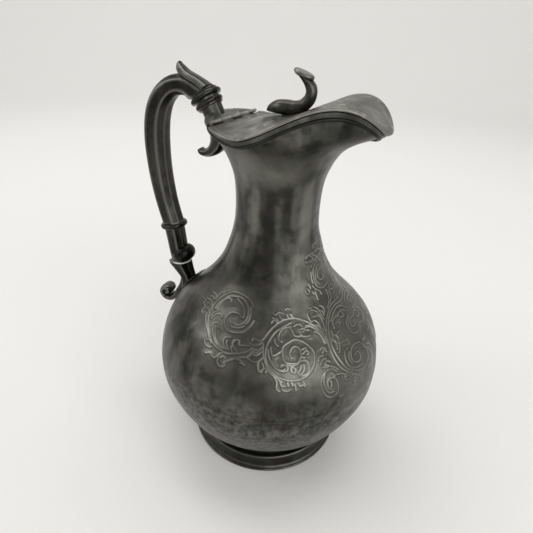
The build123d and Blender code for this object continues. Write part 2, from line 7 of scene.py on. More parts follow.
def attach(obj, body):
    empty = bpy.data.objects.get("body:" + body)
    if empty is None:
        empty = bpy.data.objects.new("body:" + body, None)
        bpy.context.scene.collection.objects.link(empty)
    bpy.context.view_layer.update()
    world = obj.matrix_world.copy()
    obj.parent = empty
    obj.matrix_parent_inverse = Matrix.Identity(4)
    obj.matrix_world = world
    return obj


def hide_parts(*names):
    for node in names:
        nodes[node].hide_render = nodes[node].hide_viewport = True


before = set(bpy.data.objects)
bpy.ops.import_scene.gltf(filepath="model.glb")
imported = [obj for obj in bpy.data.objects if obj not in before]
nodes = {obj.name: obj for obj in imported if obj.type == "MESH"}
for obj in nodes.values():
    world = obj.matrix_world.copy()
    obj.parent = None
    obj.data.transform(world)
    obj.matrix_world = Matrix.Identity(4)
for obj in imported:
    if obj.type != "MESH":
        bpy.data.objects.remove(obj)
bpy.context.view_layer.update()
mm = 0.001
print("frame loaded:", len(nodes), "nodes")

# every shape below is drawn in millimetres and made metres when it is finished
# the jug stands on z 0, its spout points to +X and its handle to -X

# curves and numbers

def catmull(values, t):  # smooth value at t (0 to 1) along a list of tuples
    last = len(values) - 1
    place = min(max(t, 0.0), 1.0) * last
    i = min(int(place), last - 1)
    u = place - i
    a, b, c, d = (values[min(max(i + k, 0), last)] for k in (-1, 0, 1, 2))
    out = []
    for p, q, r, s in zip(a, b, c, d):
        out.append(q + 0.5 * u * (r - p + u * (2 * p - 5 * q + 4 * r - s + u * (3 * (q - r) + s - p))))
    return out


def hermite(keys, x):  # keys are (x, value, slope); straight beyond the ends
    if x <= keys[0][0]:
        return keys[0][1] + keys[0][2] * (x - keys[0][0])
    for (x0, y0, m0), (x1, y1, m1) in zip(keys, keys[1:]):
        if x <= x1:
            span = x1 - x0
            u = (x - x0) / span
            low = y0 * (1 + 2 * u) + m0 * span * u
            high = y1 * (3 - 2 * u) + m1 * span * (u - 1)
            return low * (1 - u) ** 2 + high * u * u
    return keys[-1][1] + keys[-1][2] * (x - keys[-1][0])


def withSlopes(points):
    keys = []
    for i, (x, y) in enumerate(points):
        before, after = points[max(i - 1, 0)], points[min(i + 1, len(points) - 1)]
        keys.append((x, y, (after[1] - before[1]) / (after[0] - before[0])))
    return keys


def bump(distance, width):  # soft hump, 1 in the middle and near 0 by two widths
    return math.exp(-(distance / width) ** 2)


# the vessel's form, the same driving sizes as the solids

vessel = {  # mm
    "bellyRadius": 72.0, "bellyHeight": 66.0,
    "neckRadius": 23.8, "neckHeight": 168.0, "mouthRadius": 39.1, "mouthHeight": 211.0,
    "mouthBase": 188.0, "wall": 1.08,
    "baseRadius": 41.0, "baseHeight": 13.4,
    "floor": [(0.0, 10.5), (25.0, 10.5), (31.0, 10.5), (36.5, 11.4), (39.4, 12.4)],  # radius and height
    "spoutReach": 14.4, "spoutRoot": 203.0, "spoutFull": 214.5,
    "rimBack": 212.7, "rimDip": 208.6, "rimDipX": -12.0,
    "rimCrest": 225.4, "rimCrestX": 35.0, "rimTip": 213.7,
    "turns": 256, "bowlStep": 1.2, "neckStep": 0.9,  # steps round a turned piece, and mm along its wall
}
# shares of the way from one driving radius to the next, against shares of the height between them
bowlKeys = withSlopes([
    (0.0, 0.0), (0.09, 0.21), (0.24, 0.456), (0.43, 0.706), (0.68, 0.9), (0.86, 0.985), (1.0, 1.0)])
shoulderKeys = withSlopes([
    (0.0, 1.0), (0.04, 0.998), (0.13, 0.968), (0.22, 0.912), (0.295, 0.832), (0.365, 0.71), (0.43, 0.567),
    (0.5, 0.42), (0.56, 0.315), (0.625, 0.218), (0.69, 0.146), (0.76, 0.09), (0.83, 0.046), (0.91, 0.012),
    (1.0, 0.0)])
flareKeys = withSlopes([
    (0.0, 0.0), (0.23, 0.02), (0.42, 0.092), (0.605, 0.27), (0.745, 0.47), (0.86, 0.706), (0.95, 0.92),
    (1.0, 1.0), (1.07, 1.033), (1.25, 1.058), (1.6, 1.08)])
spoutKeys = withSlopes([
    (0.0, 0.0), (0.38, 0.1), (0.6, 0.33), (0.79, 0.84), (0.95, 0.985), (1.2, 1.0), (3.0, 1.0)])
backX = -vessel["mouthRadius"]
tipX = vessel["mouthRadius"] + vessel["spoutReach"] + 0.5
rimKeys = [  # x, height and slope along the rim, from the back to the tip of the spout
    (backX, vessel["rimBack"], -0.1), (vessel["rimDipX"], vessel["rimDip"], 0.0),
    (vessel["rimCrestX"], vessel["rimCrest"], 0.0), (tipX, vessel["rimTip"], -1.5)]


def bodyRadius(z):
    v = vessel
    if z < v["bellyHeight"]:
        u = (z - v["baseHeight"]) / (v["bellyHeight"] - v["baseHeight"])
        return v["baseRadius"] + hermite(bowlKeys, u) * (v["bellyRadius"] - v["baseRadius"])
    if z < v["neckHeight"]:
        u = (z - v["bellyHeight"]) / (v["neckHeight"] - v["bellyHeight"])
        return v["neckRadius"] + hermite(shoulderKeys, u) * (v["bellyRadius"] - v["neckRadius"])
    u = (z - v["neckHeight"]) / (v["mouthHeight"] - v["neckHeight"])
    return v["neckRadius"] + hermite(flareKeys, u) * (v["mouthRadius"] - v["neckRadius"])


def outlineRadius(angle, z):
    growth = hermite(spoutKeys, (z - vessel["spoutRoot"]) / (vessel["spoutFull"] - vessel["spoutRoot"]))
    return bodyRadius(z) + vessel["spoutReach"] * max(growth, 0) * max(math.cos(angle), 0) ** 4


def rimHeight(x):
    return hermite(rimKeys, x)


def rimPlan(angle):  # plan radius of the rim at an angle from the spout
    radius = vessel["mouthRadius"]
    for _ in range(12):
        radius = 0.5 * radius + 0.5 * outlineRadius(angle, rimHeight(radius * math.cos(angle)))
    return radius


# colours and nodes

def hexToLinear(code):
    channels = []
    for i in (0, 2, 4):
        c = int(code[i:i + 2], 16) / 255
        channels.append(c / 12.92 if c <= 0.04045 else ((c + 0.055) / 1.055) ** 2.4)
    return (*channels, 1.0)


def addNode(tree, kind, settings=None, inputs=None, stops=()):
    # an input given as another node's socket is linked, any other is a value; stops are a ramp's (place, hex)
    node = tree.nodes.new("ShaderNode" + kind)
    for key, value in (settings or {}).items():
        setattr(node, key, value)
    for key, value in (inputs or {}).items():
        if isinstance(value, bpy.types.NodeSocket):
            tree.links.new(value, node.inputs[key])
        else:
            node.inputs[key].default_value = value
    if stops:
        elements = node.color_ramp.elements
        while len(elements) < len(stops):
            elements.new(0.5)
        for element, (place, code) in zip(elements, stops):
            element.position = place
            element.color = hexToLinear(code)
    return node


def newMaterial(name):
    material = bpy.data.materials.new(name)
    material.use_nodes = True
    tree = material.node_tree
    return material, tree, tree.nodes["Principled BSDF"]


print("helpers ready")

# materials

film = {  # grey sulphide tarnish on silver plate, sizes in mm
    "stainSize": 46.0,                    # broad clouds
    "streakWidth": 11.0, "streakLength": 90.0, "streakShare": 0.58,  # runs down the wall
    "stops": (0.37, 0.5, 0.64),           # where a plate's three colours stand on the two together
    "speckSize": 6.4, "speckShare": 0.8,  # pits where the plating has gone
    "specks": [(0.38, "787874"), (0.47, "d8d8d5"), (0.56, "ffffff")],
    "thin": 0.3, "thick": 0.7, "matt": 0.1, "glossy": 0.06,  # how the film changes the roughness
    "dentSize": 24.0, "dentDepth": 0.6, "dentStrength": 0.25,  # soft unevenness from the hammer
    "grainSize": 1.5, "grainDepth": 0.06, "grainStrength": 0.12,  # coarser than real polishing marks, to show
    "metallic": 0.86,                     # the film dulls the metal a little
    # patch and edge colours: the dark and light patches also paint reflections and shade
    "darkest": "24241f", "rubbedAndSheen": "8e8e86", "bareAndHighlight": "a2a29a",
}
tide = {  # the lower belly, mottled dark and light up to a wandering edge, sizes in mm
    "wanderSize": 30.0, "wander": 22.0, "low": 74.0, "high": 100.0,
    "mottleSize": 7.0, "crumbSize": 2.6, "mottle": [(0.38, "262623"), (0.47, "454541"), (0.60, "686862")],
    "line": 75.5, "lineWander": 5.0, "lineWidth": 0.6, "lineShare": 0.6, "lineColour": "1e1e1b",
}
cutwork = {  # how strongly the chased lines show
    # painted light: a broad sheen around the lines, highlights on their ridges and shadow in the grooves,
    # with rubbing, wear and tarnish
    "rubSheen": 0.4, "rubSheenColour": "7a7a73", "groove": 0.6, "grooveShadeColour": "282825",
    "ridge": (0.2, 0.75), "ridgeHighlightColour": "9c9c94", "patchSize": 7.0,  # least and most, in patches in mm
}
scratch = {"size": 15.0, "width": 0.016, "share": 0.8, "breakSize": 9.0, "colour": "d0d0c8"}  # sizes in mm
multiply, multiplyAdd = {"operation": "MULTIPLY"}, {"operation": "MULTIPLY_ADD"}
subtract, absolute = {"operation": "SUBTRACT"}, {"operation": "ABSOLUTE"}
eased, colours = {"interpolation_type": "SMOOTHSTEP"}, {"data_type": "RGBA"}


def clouds(tree, spot, size, detail, stretch=(1, 1, 1), shift=(0, 0, 0), distortion=0.0):
    # patches about size mm across; a shift keeps two patterns from lining up
    mapping = addNode(tree, "Mapping", inputs={"Scale": stretch, "Location": shift, "Vector": spot})
    noise = {"Scale": 1.0 / (size * mm), "Detail": detail, "Distortion": distortion}
    return addNode(tree, "TexNoise", inputs={**noise, "Vector": mapping.outputs[0]}).outputs["Fac"]


def layTide(tree, spot, colour):  # stained by damp below the joint, with a thin dark line along it
    t = tide
    height = addNode(tree, "SeparateXYZ", inputs={0: spot}).outputs["Z"]
    wander = clouds(tree, spot, t["wanderSize"], 4.0, shift=(0.1, 0.2, 0))
    edge = addNode(tree, "Math", multiplyAdd, {0: wander, 1: t["wander"] * mm, 2: height})
    belt = {0: edge.outputs[0], 1: t["low"] * mm, 2: t["high"] * mm, 3: 1.0, 4: 0.0}
    belt = addNode(tree, "MapRange", eased, belt)
    mottle = clouds(tree, spot, t["mottleSize"], 9.0, (1, 1, 1.3), (0.3, 0, 0), 0.3)
    crumbs = clouds(tree, spot, t["crumbSize"], 4.0, shift=(0.7, 0, 0.1))
    half = addNode(tree, "Math", multiply, {0: crumbs, 1: 0.5})
    both = addNode(tree, "Math", multiplyAdd, {0: mottle, 1: 0.5, 2: half.outputs[0]})
    lower = addNode(tree, "ValToRGB", inputs={0: both.outputs[0]}, stops=t["mottle"])
    colour = addNode(tree, "Mix", colours, {0: belt.outputs[0], 6: colour, 7: lower.outputs[0]}).outputs[2]
    ripple = addNode(tree, "Math", multiplyAdd, {0: wander, 1: t["lineWander"] * mm, 2: height})
    off = addNode(tree, "Math", subtract, {0: ripple.outputs[0], 1: t["line"] * mm})
    away = addNode(tree, "Math", absolute, {0: off.outputs[0]})
    line = {0: away.outputs[0], 1: 0.0, 2: t["lineWidth"] * mm, 3: t["lineShare"], 4: 0.0}
    line = addNode(tree, "MapRange", inputs=line)
    line = {0: line.outputs[0], 6: colour, 7: hexToLinear(t["lineColour"])}
    return addNode(tree, "Mix", colours, line).outputs[2]


# a patch darker or lighter: tarnish, and on the vessel mostly painted reflections and shade
def layStainAndReflection(tree, spot, streak, colour, place, size, amount):  # a soft patch, ragged along the streaks
    centre, scale = tuple(-c / r for c, r in zip(place, size)), tuple(1 / (r * mm) for r in size)
    local = addNode(tree, "Mapping", inputs={"Location": centre, "Scale": scale, "Vector": spot})
    away = addNode(tree, "VectorMath", {"operation": "LENGTH"}, {0: local.outputs[0]}).outputs["Value"]
    ragged = addNode(tree, "Math", multiplyAdd, {0: streak, 1: 0.9, 2: away})
    share = addNode(tree, "MapRange", eased, {0: ragged.outputs[0], 1: 0.8, 2: 1.45, 3: abs(amount), 4: 0.0})
    over = hexToLinear(film["darkest"] if amount < 0 else film["rubbedAndSheen"])
    return addNode(tree, "Mix", colours, {0: share.outputs[0], 6: colour, 7: over}).outputs[2]


def layChasing(tree, spot, colour):  # painted highlight and wear along the raised lines, a painted sheen around them, and tarnish with painted shadow in the grooves beside them
    c = cutwork
    rubbedAndSheen = addNode(tree, "Attribute", {"attribute_name": "rubbedAndSheen"}).outputs["Fac"]
    cut = addNode(tree, "Attribute", {"attribute_name": "chasing"}).outputs["Fac"]
    patches = clouds(tree, spot, c["patchSize"], 2.0, shift=(0.2, 0.5, 0))
    least, most = c["ridge"]
    patchy = addNode(tree, "MapRange", inputs={0: patches, 1: 0.38, 2: 0.62, 3: least, 4: most})
    raised = addNode(tree, "MapRange", inputs={0: cut, 1: 0.1, 2: 0.9, 3: 0.0, 4: 1.0})
    rubSheen = addNode(tree, "MapRange", inputs={0: rubbedAndSheen, 1: 0.0, 2: 1.0, 3: 0.0, 4: c["rubSheen"]})
    groove = addNode(tree, "MapRange", inputs={0: cut, 1: 0.0, 2: -0.8, 3: 0.0, 4: c["groove"]})
    ridge = addNode(tree, "Math", multiply, {0: patchy.outputs[0], 1: raised.outputs[0]})
    for share, code in ((rubSheen, c["rubSheenColour"]), (groove, c["grooveShadeColour"]), (ridge, c["ridgeHighlightColour"])):
        layer = {0: share.outputs[0], 6: colour, 7: hexToLinear(code)}
        colour = addNode(tree, "Mix", colours, layer).outputs[2]
    return colour


def layScratches(tree, spot, colour):  # fine broken light lines where the sheet has been knocked and rubbed
    s = scratch
    wander = clouds(tree, spot, s["size"], 3.0, shift=(0.13, 0.31, 0), distortion=1.4)
    off = addNode(tree, "Math", subtract, {0: wander, 1: 0.5})
    away = addNode(tree, "Math", absolute, {0: off.outputs[0]})
    line = {0: away.outputs[0], 1: 0.0, 2: s["width"], 3: s["share"], 4: 0.0}
    line = addNode(tree, "MapRange", inputs=line)
    gaps = clouds(tree, spot, s["breakSize"], 3.0, shift=(0.6, 0.2, 0.2))
    broken = addNode(tree, "MapRange", inputs={0: gaps, 1: 0.48, 2: 0.6, 3: 0.0, 4: 1.0})
    share = addNode(tree, "Math", multiply, {0: line.outputs[0], 1: broken.outputs[0]})
    layer = {0: share.outputs[0], 6: colour, 7: hexToLinear(s["colour"])}
    return addNode(tree, "Mix", colours, layer).outputs[2]


def platedMetal(name, tones, roughness, tarnished=False, pits=0.5, chased=False, stainsAndReflections=(), wearAndHighlightShare=0.3,
                scratched=False):
    # electroplated silver on soft metal, spun or cast and hand polished, now dull with tarnish:
    # it keeps a soft broad sheen, and goes matt and mottled where the film is thick
    material, tree, shader = newMaterial(name)
    f = film
    spot = addNode(tree, "TexCoord").outputs["Object"]
    stain = clouds(tree, spot, f["stainSize"], 5.0, distortion=0.4)
    stretch = (1, 1, f["streakWidth"] / f["streakLength"])
    streak = clouds(tree, spot, f["streakWidth"], 3.0, stretch, (0.02, 0, 0))
    part = addNode(tree, "Math", multiply, {0: streak, 1: f["streakShare"]})
    both = addNode(tree, "Math", multiplyAdd, {0: stain, 1: 1 - f["streakShare"], 2: part.outputs[0]})
    stops = list(zip(f["stops"], tones))
    colour = addNode(tree, "ValToRGB", inputs={0: both.outputs[0]}, stops=stops).outputs[0]
    fine = clouds(tree, spot, f["speckSize"], 6.0)
    specks = addNode(tree, "ValToRGB", inputs={0: fine}, stops=f["specks"])
    pitted = {0: pits * f["speckShare"], 6: colour, 7: specks.outputs[0]}
    colour = addNode(tree, "Mix", {**colours, "blend_type": "MULTIPLY"}, pitted).outputs[2]
    if tarnished:
        colour = layTide(tree, spot, colour)
    for place, size, amount in stainsAndReflections:
        colour = layStainAndReflection(tree, spot, streak, colour, place, size, amount)
    if chased:
        colour = layChasing(tree, spot, colour)
    if scratched:
        colour = layScratches(tree, spot, colour)
    # sharp edges and the cover's crease go lighter: wear, and painted highlights along them
    wearAndHighlight = addNode(tree, "Attribute", {"attribute_name": "wearAndHighlight"}).outputs["Fac"]
    share = addNode(tree, "Math", multiply, {0: wearAndHighlight, 1: wearAndHighlightShare})
    wornAndHighlit = addNode(tree, "Mix", colours, {0: share.outputs[0], 6: colour, 7: hexToLinear(f["bareAndHighlight"])})
    matt, glossy = roughness + f["matt"], roughness - f["glossy"]
    rough = {0: both.outputs[0], 1: f["thin"], 2: f["thick"], 3: matt, 4: glossy}
    rough = addNode(tree, "MapRange", inputs=rough)
    dents = {"Strength": f["dentStrength"], "Distance": f["dentDepth"] * mm,
             "Height": clouds(tree, spot, f["dentSize"], 2.0, shift=(0.4, 0.1, 0))}
    dents = addNode(tree, "Bump", inputs=dents)
    grain = {"Strength": f["grainStrength"], "Distance": f["grainDepth"] * mm,
             "Height": clouds(tree, spot, f["grainSize"], 3.0), "Normal": dents.outputs[0]}
    grain = addNode(tree, "Bump", inputs=grain)
    tree.links.new(wornAndHighlit.outputs[2], shader.inputs["Base Color"])
    tree.links.new(rough.outputs[0], shader.inputs["Roughness"])
    tree.links.new(grain.outputs[0], shader.inputs["Normal"])
    shader.inputs["Metallic"].default_value = f["metallic"]
    return material


tusk = {"grainSize": 1.1111, "depth": 0.05, "strength": 0.15, "roughness": 0.42}  # sizes in mm


def turnedIvory(name, dark, light):  # turned on a lathe and polished: warm, dull, with a faint grain
    material, tree, shader = newMaterial(name)
    spot = addNode(tree, "TexCoord").outputs["Object"]
    grain = {"Scale": 1.0 / (tusk["grainSize"] * mm), "Detail": 3.0, "Vector": spot}
    grain = addNode(tree, "TexNoise", inputs=grain)
    fac = grain.outputs["Fac"]
    colour = addNode(tree, "ValToRGB", inputs={0: fac}, stops=[(0.35, dark), (0.65, light)])
    bumps = {"Strength": tusk["strength"], "Distance": tusk["depth"] * mm, "Height": fac}
    bumps = addNode(tree, "Bump", inputs=bumps)
    tree.links.new(colour.outputs[0], shader.inputs["Base Color"])
    tree.links.new(bumps.outputs[0], shader.inputs["Normal"])
    shader.inputs["Roughness"].default_value = tusk["roughness"]
    return material


# soft patches painted darker or lighter: place and size in mm, then how much (dark is below 0); on the vessel
# most are painted reflections and shade, the rest tarnish
vesselStainsAndReflections = [
    # the neck: the dark streaks down its middle and the light ones beside them are painted reflections
    ((23, -18, 196), (7, 7, 15), -0.6),
    ((13, -20, 170), (4, 4, 20), -0.6),
    ((5, -23, 166), (4, 4, 24), -0.6),
    ((9, -25, 148), (10, 10, 18), -0.4),
    ((-9, -22, 165), (3, 3, 40), -0.45),
    ((21, -11, 168), (6, 6, 34), 0.4),
    ((-3, -24, 176), (4, 4, 30), 0.32),
    # painted light reflection of the floor under the flare
    ((6, -30, 197), (30, 26, 14), 0.4),
    ((-12, -24, 190), (9, 12, 14), 0.3),
    ((-39, -49, 98), (14, 14, 11), -0.65),
    ((36, -62, 72), (30, 26, 10), -0.38),
    ((67, -24, 76), (16, 22, 18), 0.22),
    # painted shade below the scroll, damping the lamp's highlight there
    ((22, -66, 87), (16, 12, 8), -0.45),
    ((-14, -52, 124), (18, 12, 12), 0.3),
    ((-39, 14, 120), (14, 14, 30), -0.35),
    ((-9, 25, 150), (7, 7, 30), -0.4),
    ((8, 23, 180), (6, 6, 26), 0.25),
    ((-6, 70, 80), (26, 26, 14), -0.35),
]
lidStains = [
    ((46, -6, 220), (9, 14, 9), 0.55),
    ((38, -24, 222), (12, 4, 9), 0.4),
    ((33, 4, 224), (9, 20, 9), 0.25),
    ((6, -26, 212), (22, 5, 9), -0.3),
    ((-22, -12, 213), (9, 14, 9), -0.3),
    ((20, -12, 222), (9, 14, 9), -0.25),
]
handleStains = [
    ((-83, 0, 86), (9, 10, 8), 0.7),
    ((-60, -3, 236), (5, 5, 4), 0.3),
    ((-72, 0, 216), (8, 12, 9), -0.3),
    ((-72, 0, 130), (9, 12, 14), -0.45),
]
vesselTones = ("2b2b28", "484843", "6a6a64")
# the spun wall: dull grey-brown, streaked down the neck and blotched low on the belly, partly tarnish and
# partly painted reflections and shade
bodyMetal = platedMetal("tarnished_silver_plate", vesselTones, 0.34, True, 0.75, stainsAndReflections=vesselStainsAndReflections)
# the same wall where it is chased: painted highlights and wear on the lines, and tarnish with painted shadow
# beside them
chasedMetal = platedMetal("chased_silver_plate", vesselTones, 0.34, True, 0.75, True, vesselStainsAndReflections)
# the cover's sheet, which is wiped and handled most: lighter, partly from wear and partly painted light for
# its up-facing top, flat and finely scratched
lidMetal = platedMetal("rubbed_and_lit_silver_plate", ("4c4c47", "66665f", "84847c"), 0.36, pits=0.6,
                       stainsAndReflections=lidStains, wearAndHighlightShare=0.6, scratched=True)
# castings, polished before they were plated: nearly black, with narrow clear lights, partly painted along
# their edges
handleMetal = platedMetal("cast_silver_plate", ("1f1f1d", "2d2d2a", "41413c"), 0.27, pits=0.6,
                          stainsAndReflections=handleStains)
# the same casting, greyer where the leaf is rubbed, and lighter again where fingers hold the finial
leafMetal = platedMetal("rubbed_leaf_plate", ("3a3a36", "51514c", "6c6c65"), 0.3, pits=0.6)
finialMetal = platedMetal("rubbed_cast_plate", ("383834", "52524d", "70706a"), 0.3, pits=0.8)
# the button that thumbs press: bright and smooth, partly from wear and partly painted light on its up-facing
# top
buttonMetal = platedMetal("thumbed_and_lit_silver_plate", ("5c5c56", "75756e", "90908a"), 0.3, pits=0.3)
# the spun foot: black with a soft sheen, dark tarnish and painted shade on the band that faces down
footMetal = platedMetal("dark_silver_plate", ("222220", "30302d", "42423e"), 0.32, wearAndHighlightShare=0.2)
# rolled beading, near black
beadMetal = platedMetal("dark_bead_plate", ("1c1c1a", "272725", "393936"), 0.36, pits=0.3)
# drawn wire, in light tones that paint the bright highlight lines along the foot wire and the hinge tubes
wireMetal = platedMetal("highlit_wire_plate", ("3a3a37", "55554f", "70706a"), 0.3, pits=0.3)
hingeMetal = platedMetal("drawn_silver_wire", ("80807a", "969690", "acaca4"), 0.34, pits=0.2)
# the inside, left as it was spun: matt and dark
insideMetal = platedMetal("unpolished_silver_plate", ("23231f", "33332f", "484842"), 0.5)
# clean ivory, nearly white, and a disc coloured near black
ivory = turnedIvory("turned_ivory", "dcd8cc", "f6f3ea")
darkIvory = turnedIvory("blackened_ivory", "24231f", "38362f")
print("materials ready")


# finishing a piece

def markEdges(bm, low=0.16, high=0.5):  # 0 to 1 where the surface turns sharply, for wear and painted edge highlights
    layer = bm.verts.layers.float.new("wearAndHighlight")
    for vert in bm.verts:
        bend = max((edge.calc_face_angle(0) for edge in vert.link_edges), default=0)
        vert[layer] = min(max((bend - low) / (high - low), 0), 1)


def finish(bm, name, body, material, stands=(), smooth=math.radians(38), clean=True):
    if clean:
        bmesh.ops.remove_doubles(bm, verts=bm.verts, dist=0.0005)
        bmesh.ops.recalc_face_normals(bm, faces=bm.faces)
    bmesh.ops.scale(bm, vec=(mm, mm, mm), verts=bm.verts)
    mesh = bpy.data.meshes.new(name)
    bm.to_mesh(mesh)
    bm.free()
    piece = bpy.data.objects.new(name, mesh)
    bpy.context.scene.collection.objects.link(piece)
    mesh.materials.append(material)
    for face in mesh.polygons:
        face.use_smooth = True
    mesh.set_sharp_from_angle(angle=smooth)
    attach(piece, body)
    if stands:
        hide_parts(*stands)
    return piece


def addProfile(bm, points, closed=False):  # points are (radius, height) in the plane y = 0
    verts = [bm.verts.new((r, 0, z)) for r, z in points]
    pairs = list(zip(verts, verts[1:])) + ([(verts[-1], verts[0])] if closed else [])
    return verts + [bm.edges.new(pair) for pair in pairs]


def turn(bm, points, steps=vessel["turns"], angle=2 * math.pi, closed=False):  # spun about the jug's axis
    full = abs(angle) > 6.28
    geom = addProfile(bm, points, closed)
    bmesh.ops.spin(bm, geom=geom, axis=(0, 0, 1), cent=(0, 0, 0), angle=angle, steps=steps, use_merge=full)


def arcLevels(low, high, step):  # heights spaced by a length along the wall
    levels = [low]
    while levels[-1] < high:
        z = levels[-1]
        slope = bodyRadius(z + 0.5) - bodyRadius(z - 0.5)
        levels.append(z + step / math.sqrt(1 + slope * slope))
    levels[-1] = high
    return levels


# chased scrollwork: acanthus C-scrolls, the same on both sides of the jug

chasing = {  # mm
    "low": 77.0, "high": 156.0,  # the belt of wall that carries it
    "cell": 0.33, "plainCell": 1.0,  # mesh spacing
    "meanRadius": 60.0,          # of the belt, to size its cells
    "ridgeWidth": 0.42, "ridgeHeight": 0.17,
    "grooveOut": 0.85, "grooveWidth": 0.42, "grooveDepth": 0.16,
    "swellWidth": 2.4, "swellHeight": 0.34,
    "rubSheenWidth": 7.0,             # how far the painted sheen around the lines spreads, also read as rubbing
    "fade": 9.0,                 # it dies away before the edges of the belt
    "reach": 16.0, "swellReach": 2.2,  # where a line stops telling, in mm and in swell widths
    "lean": 0.7,                 # share of a groove that is cut only below its line, where its dark tone paints the shadow of light from above
    "grooveTone": 0.9,           # how dark a groove is beside how bright its line is
    "sample": 0.2,               # spacing of the samples along a line
}
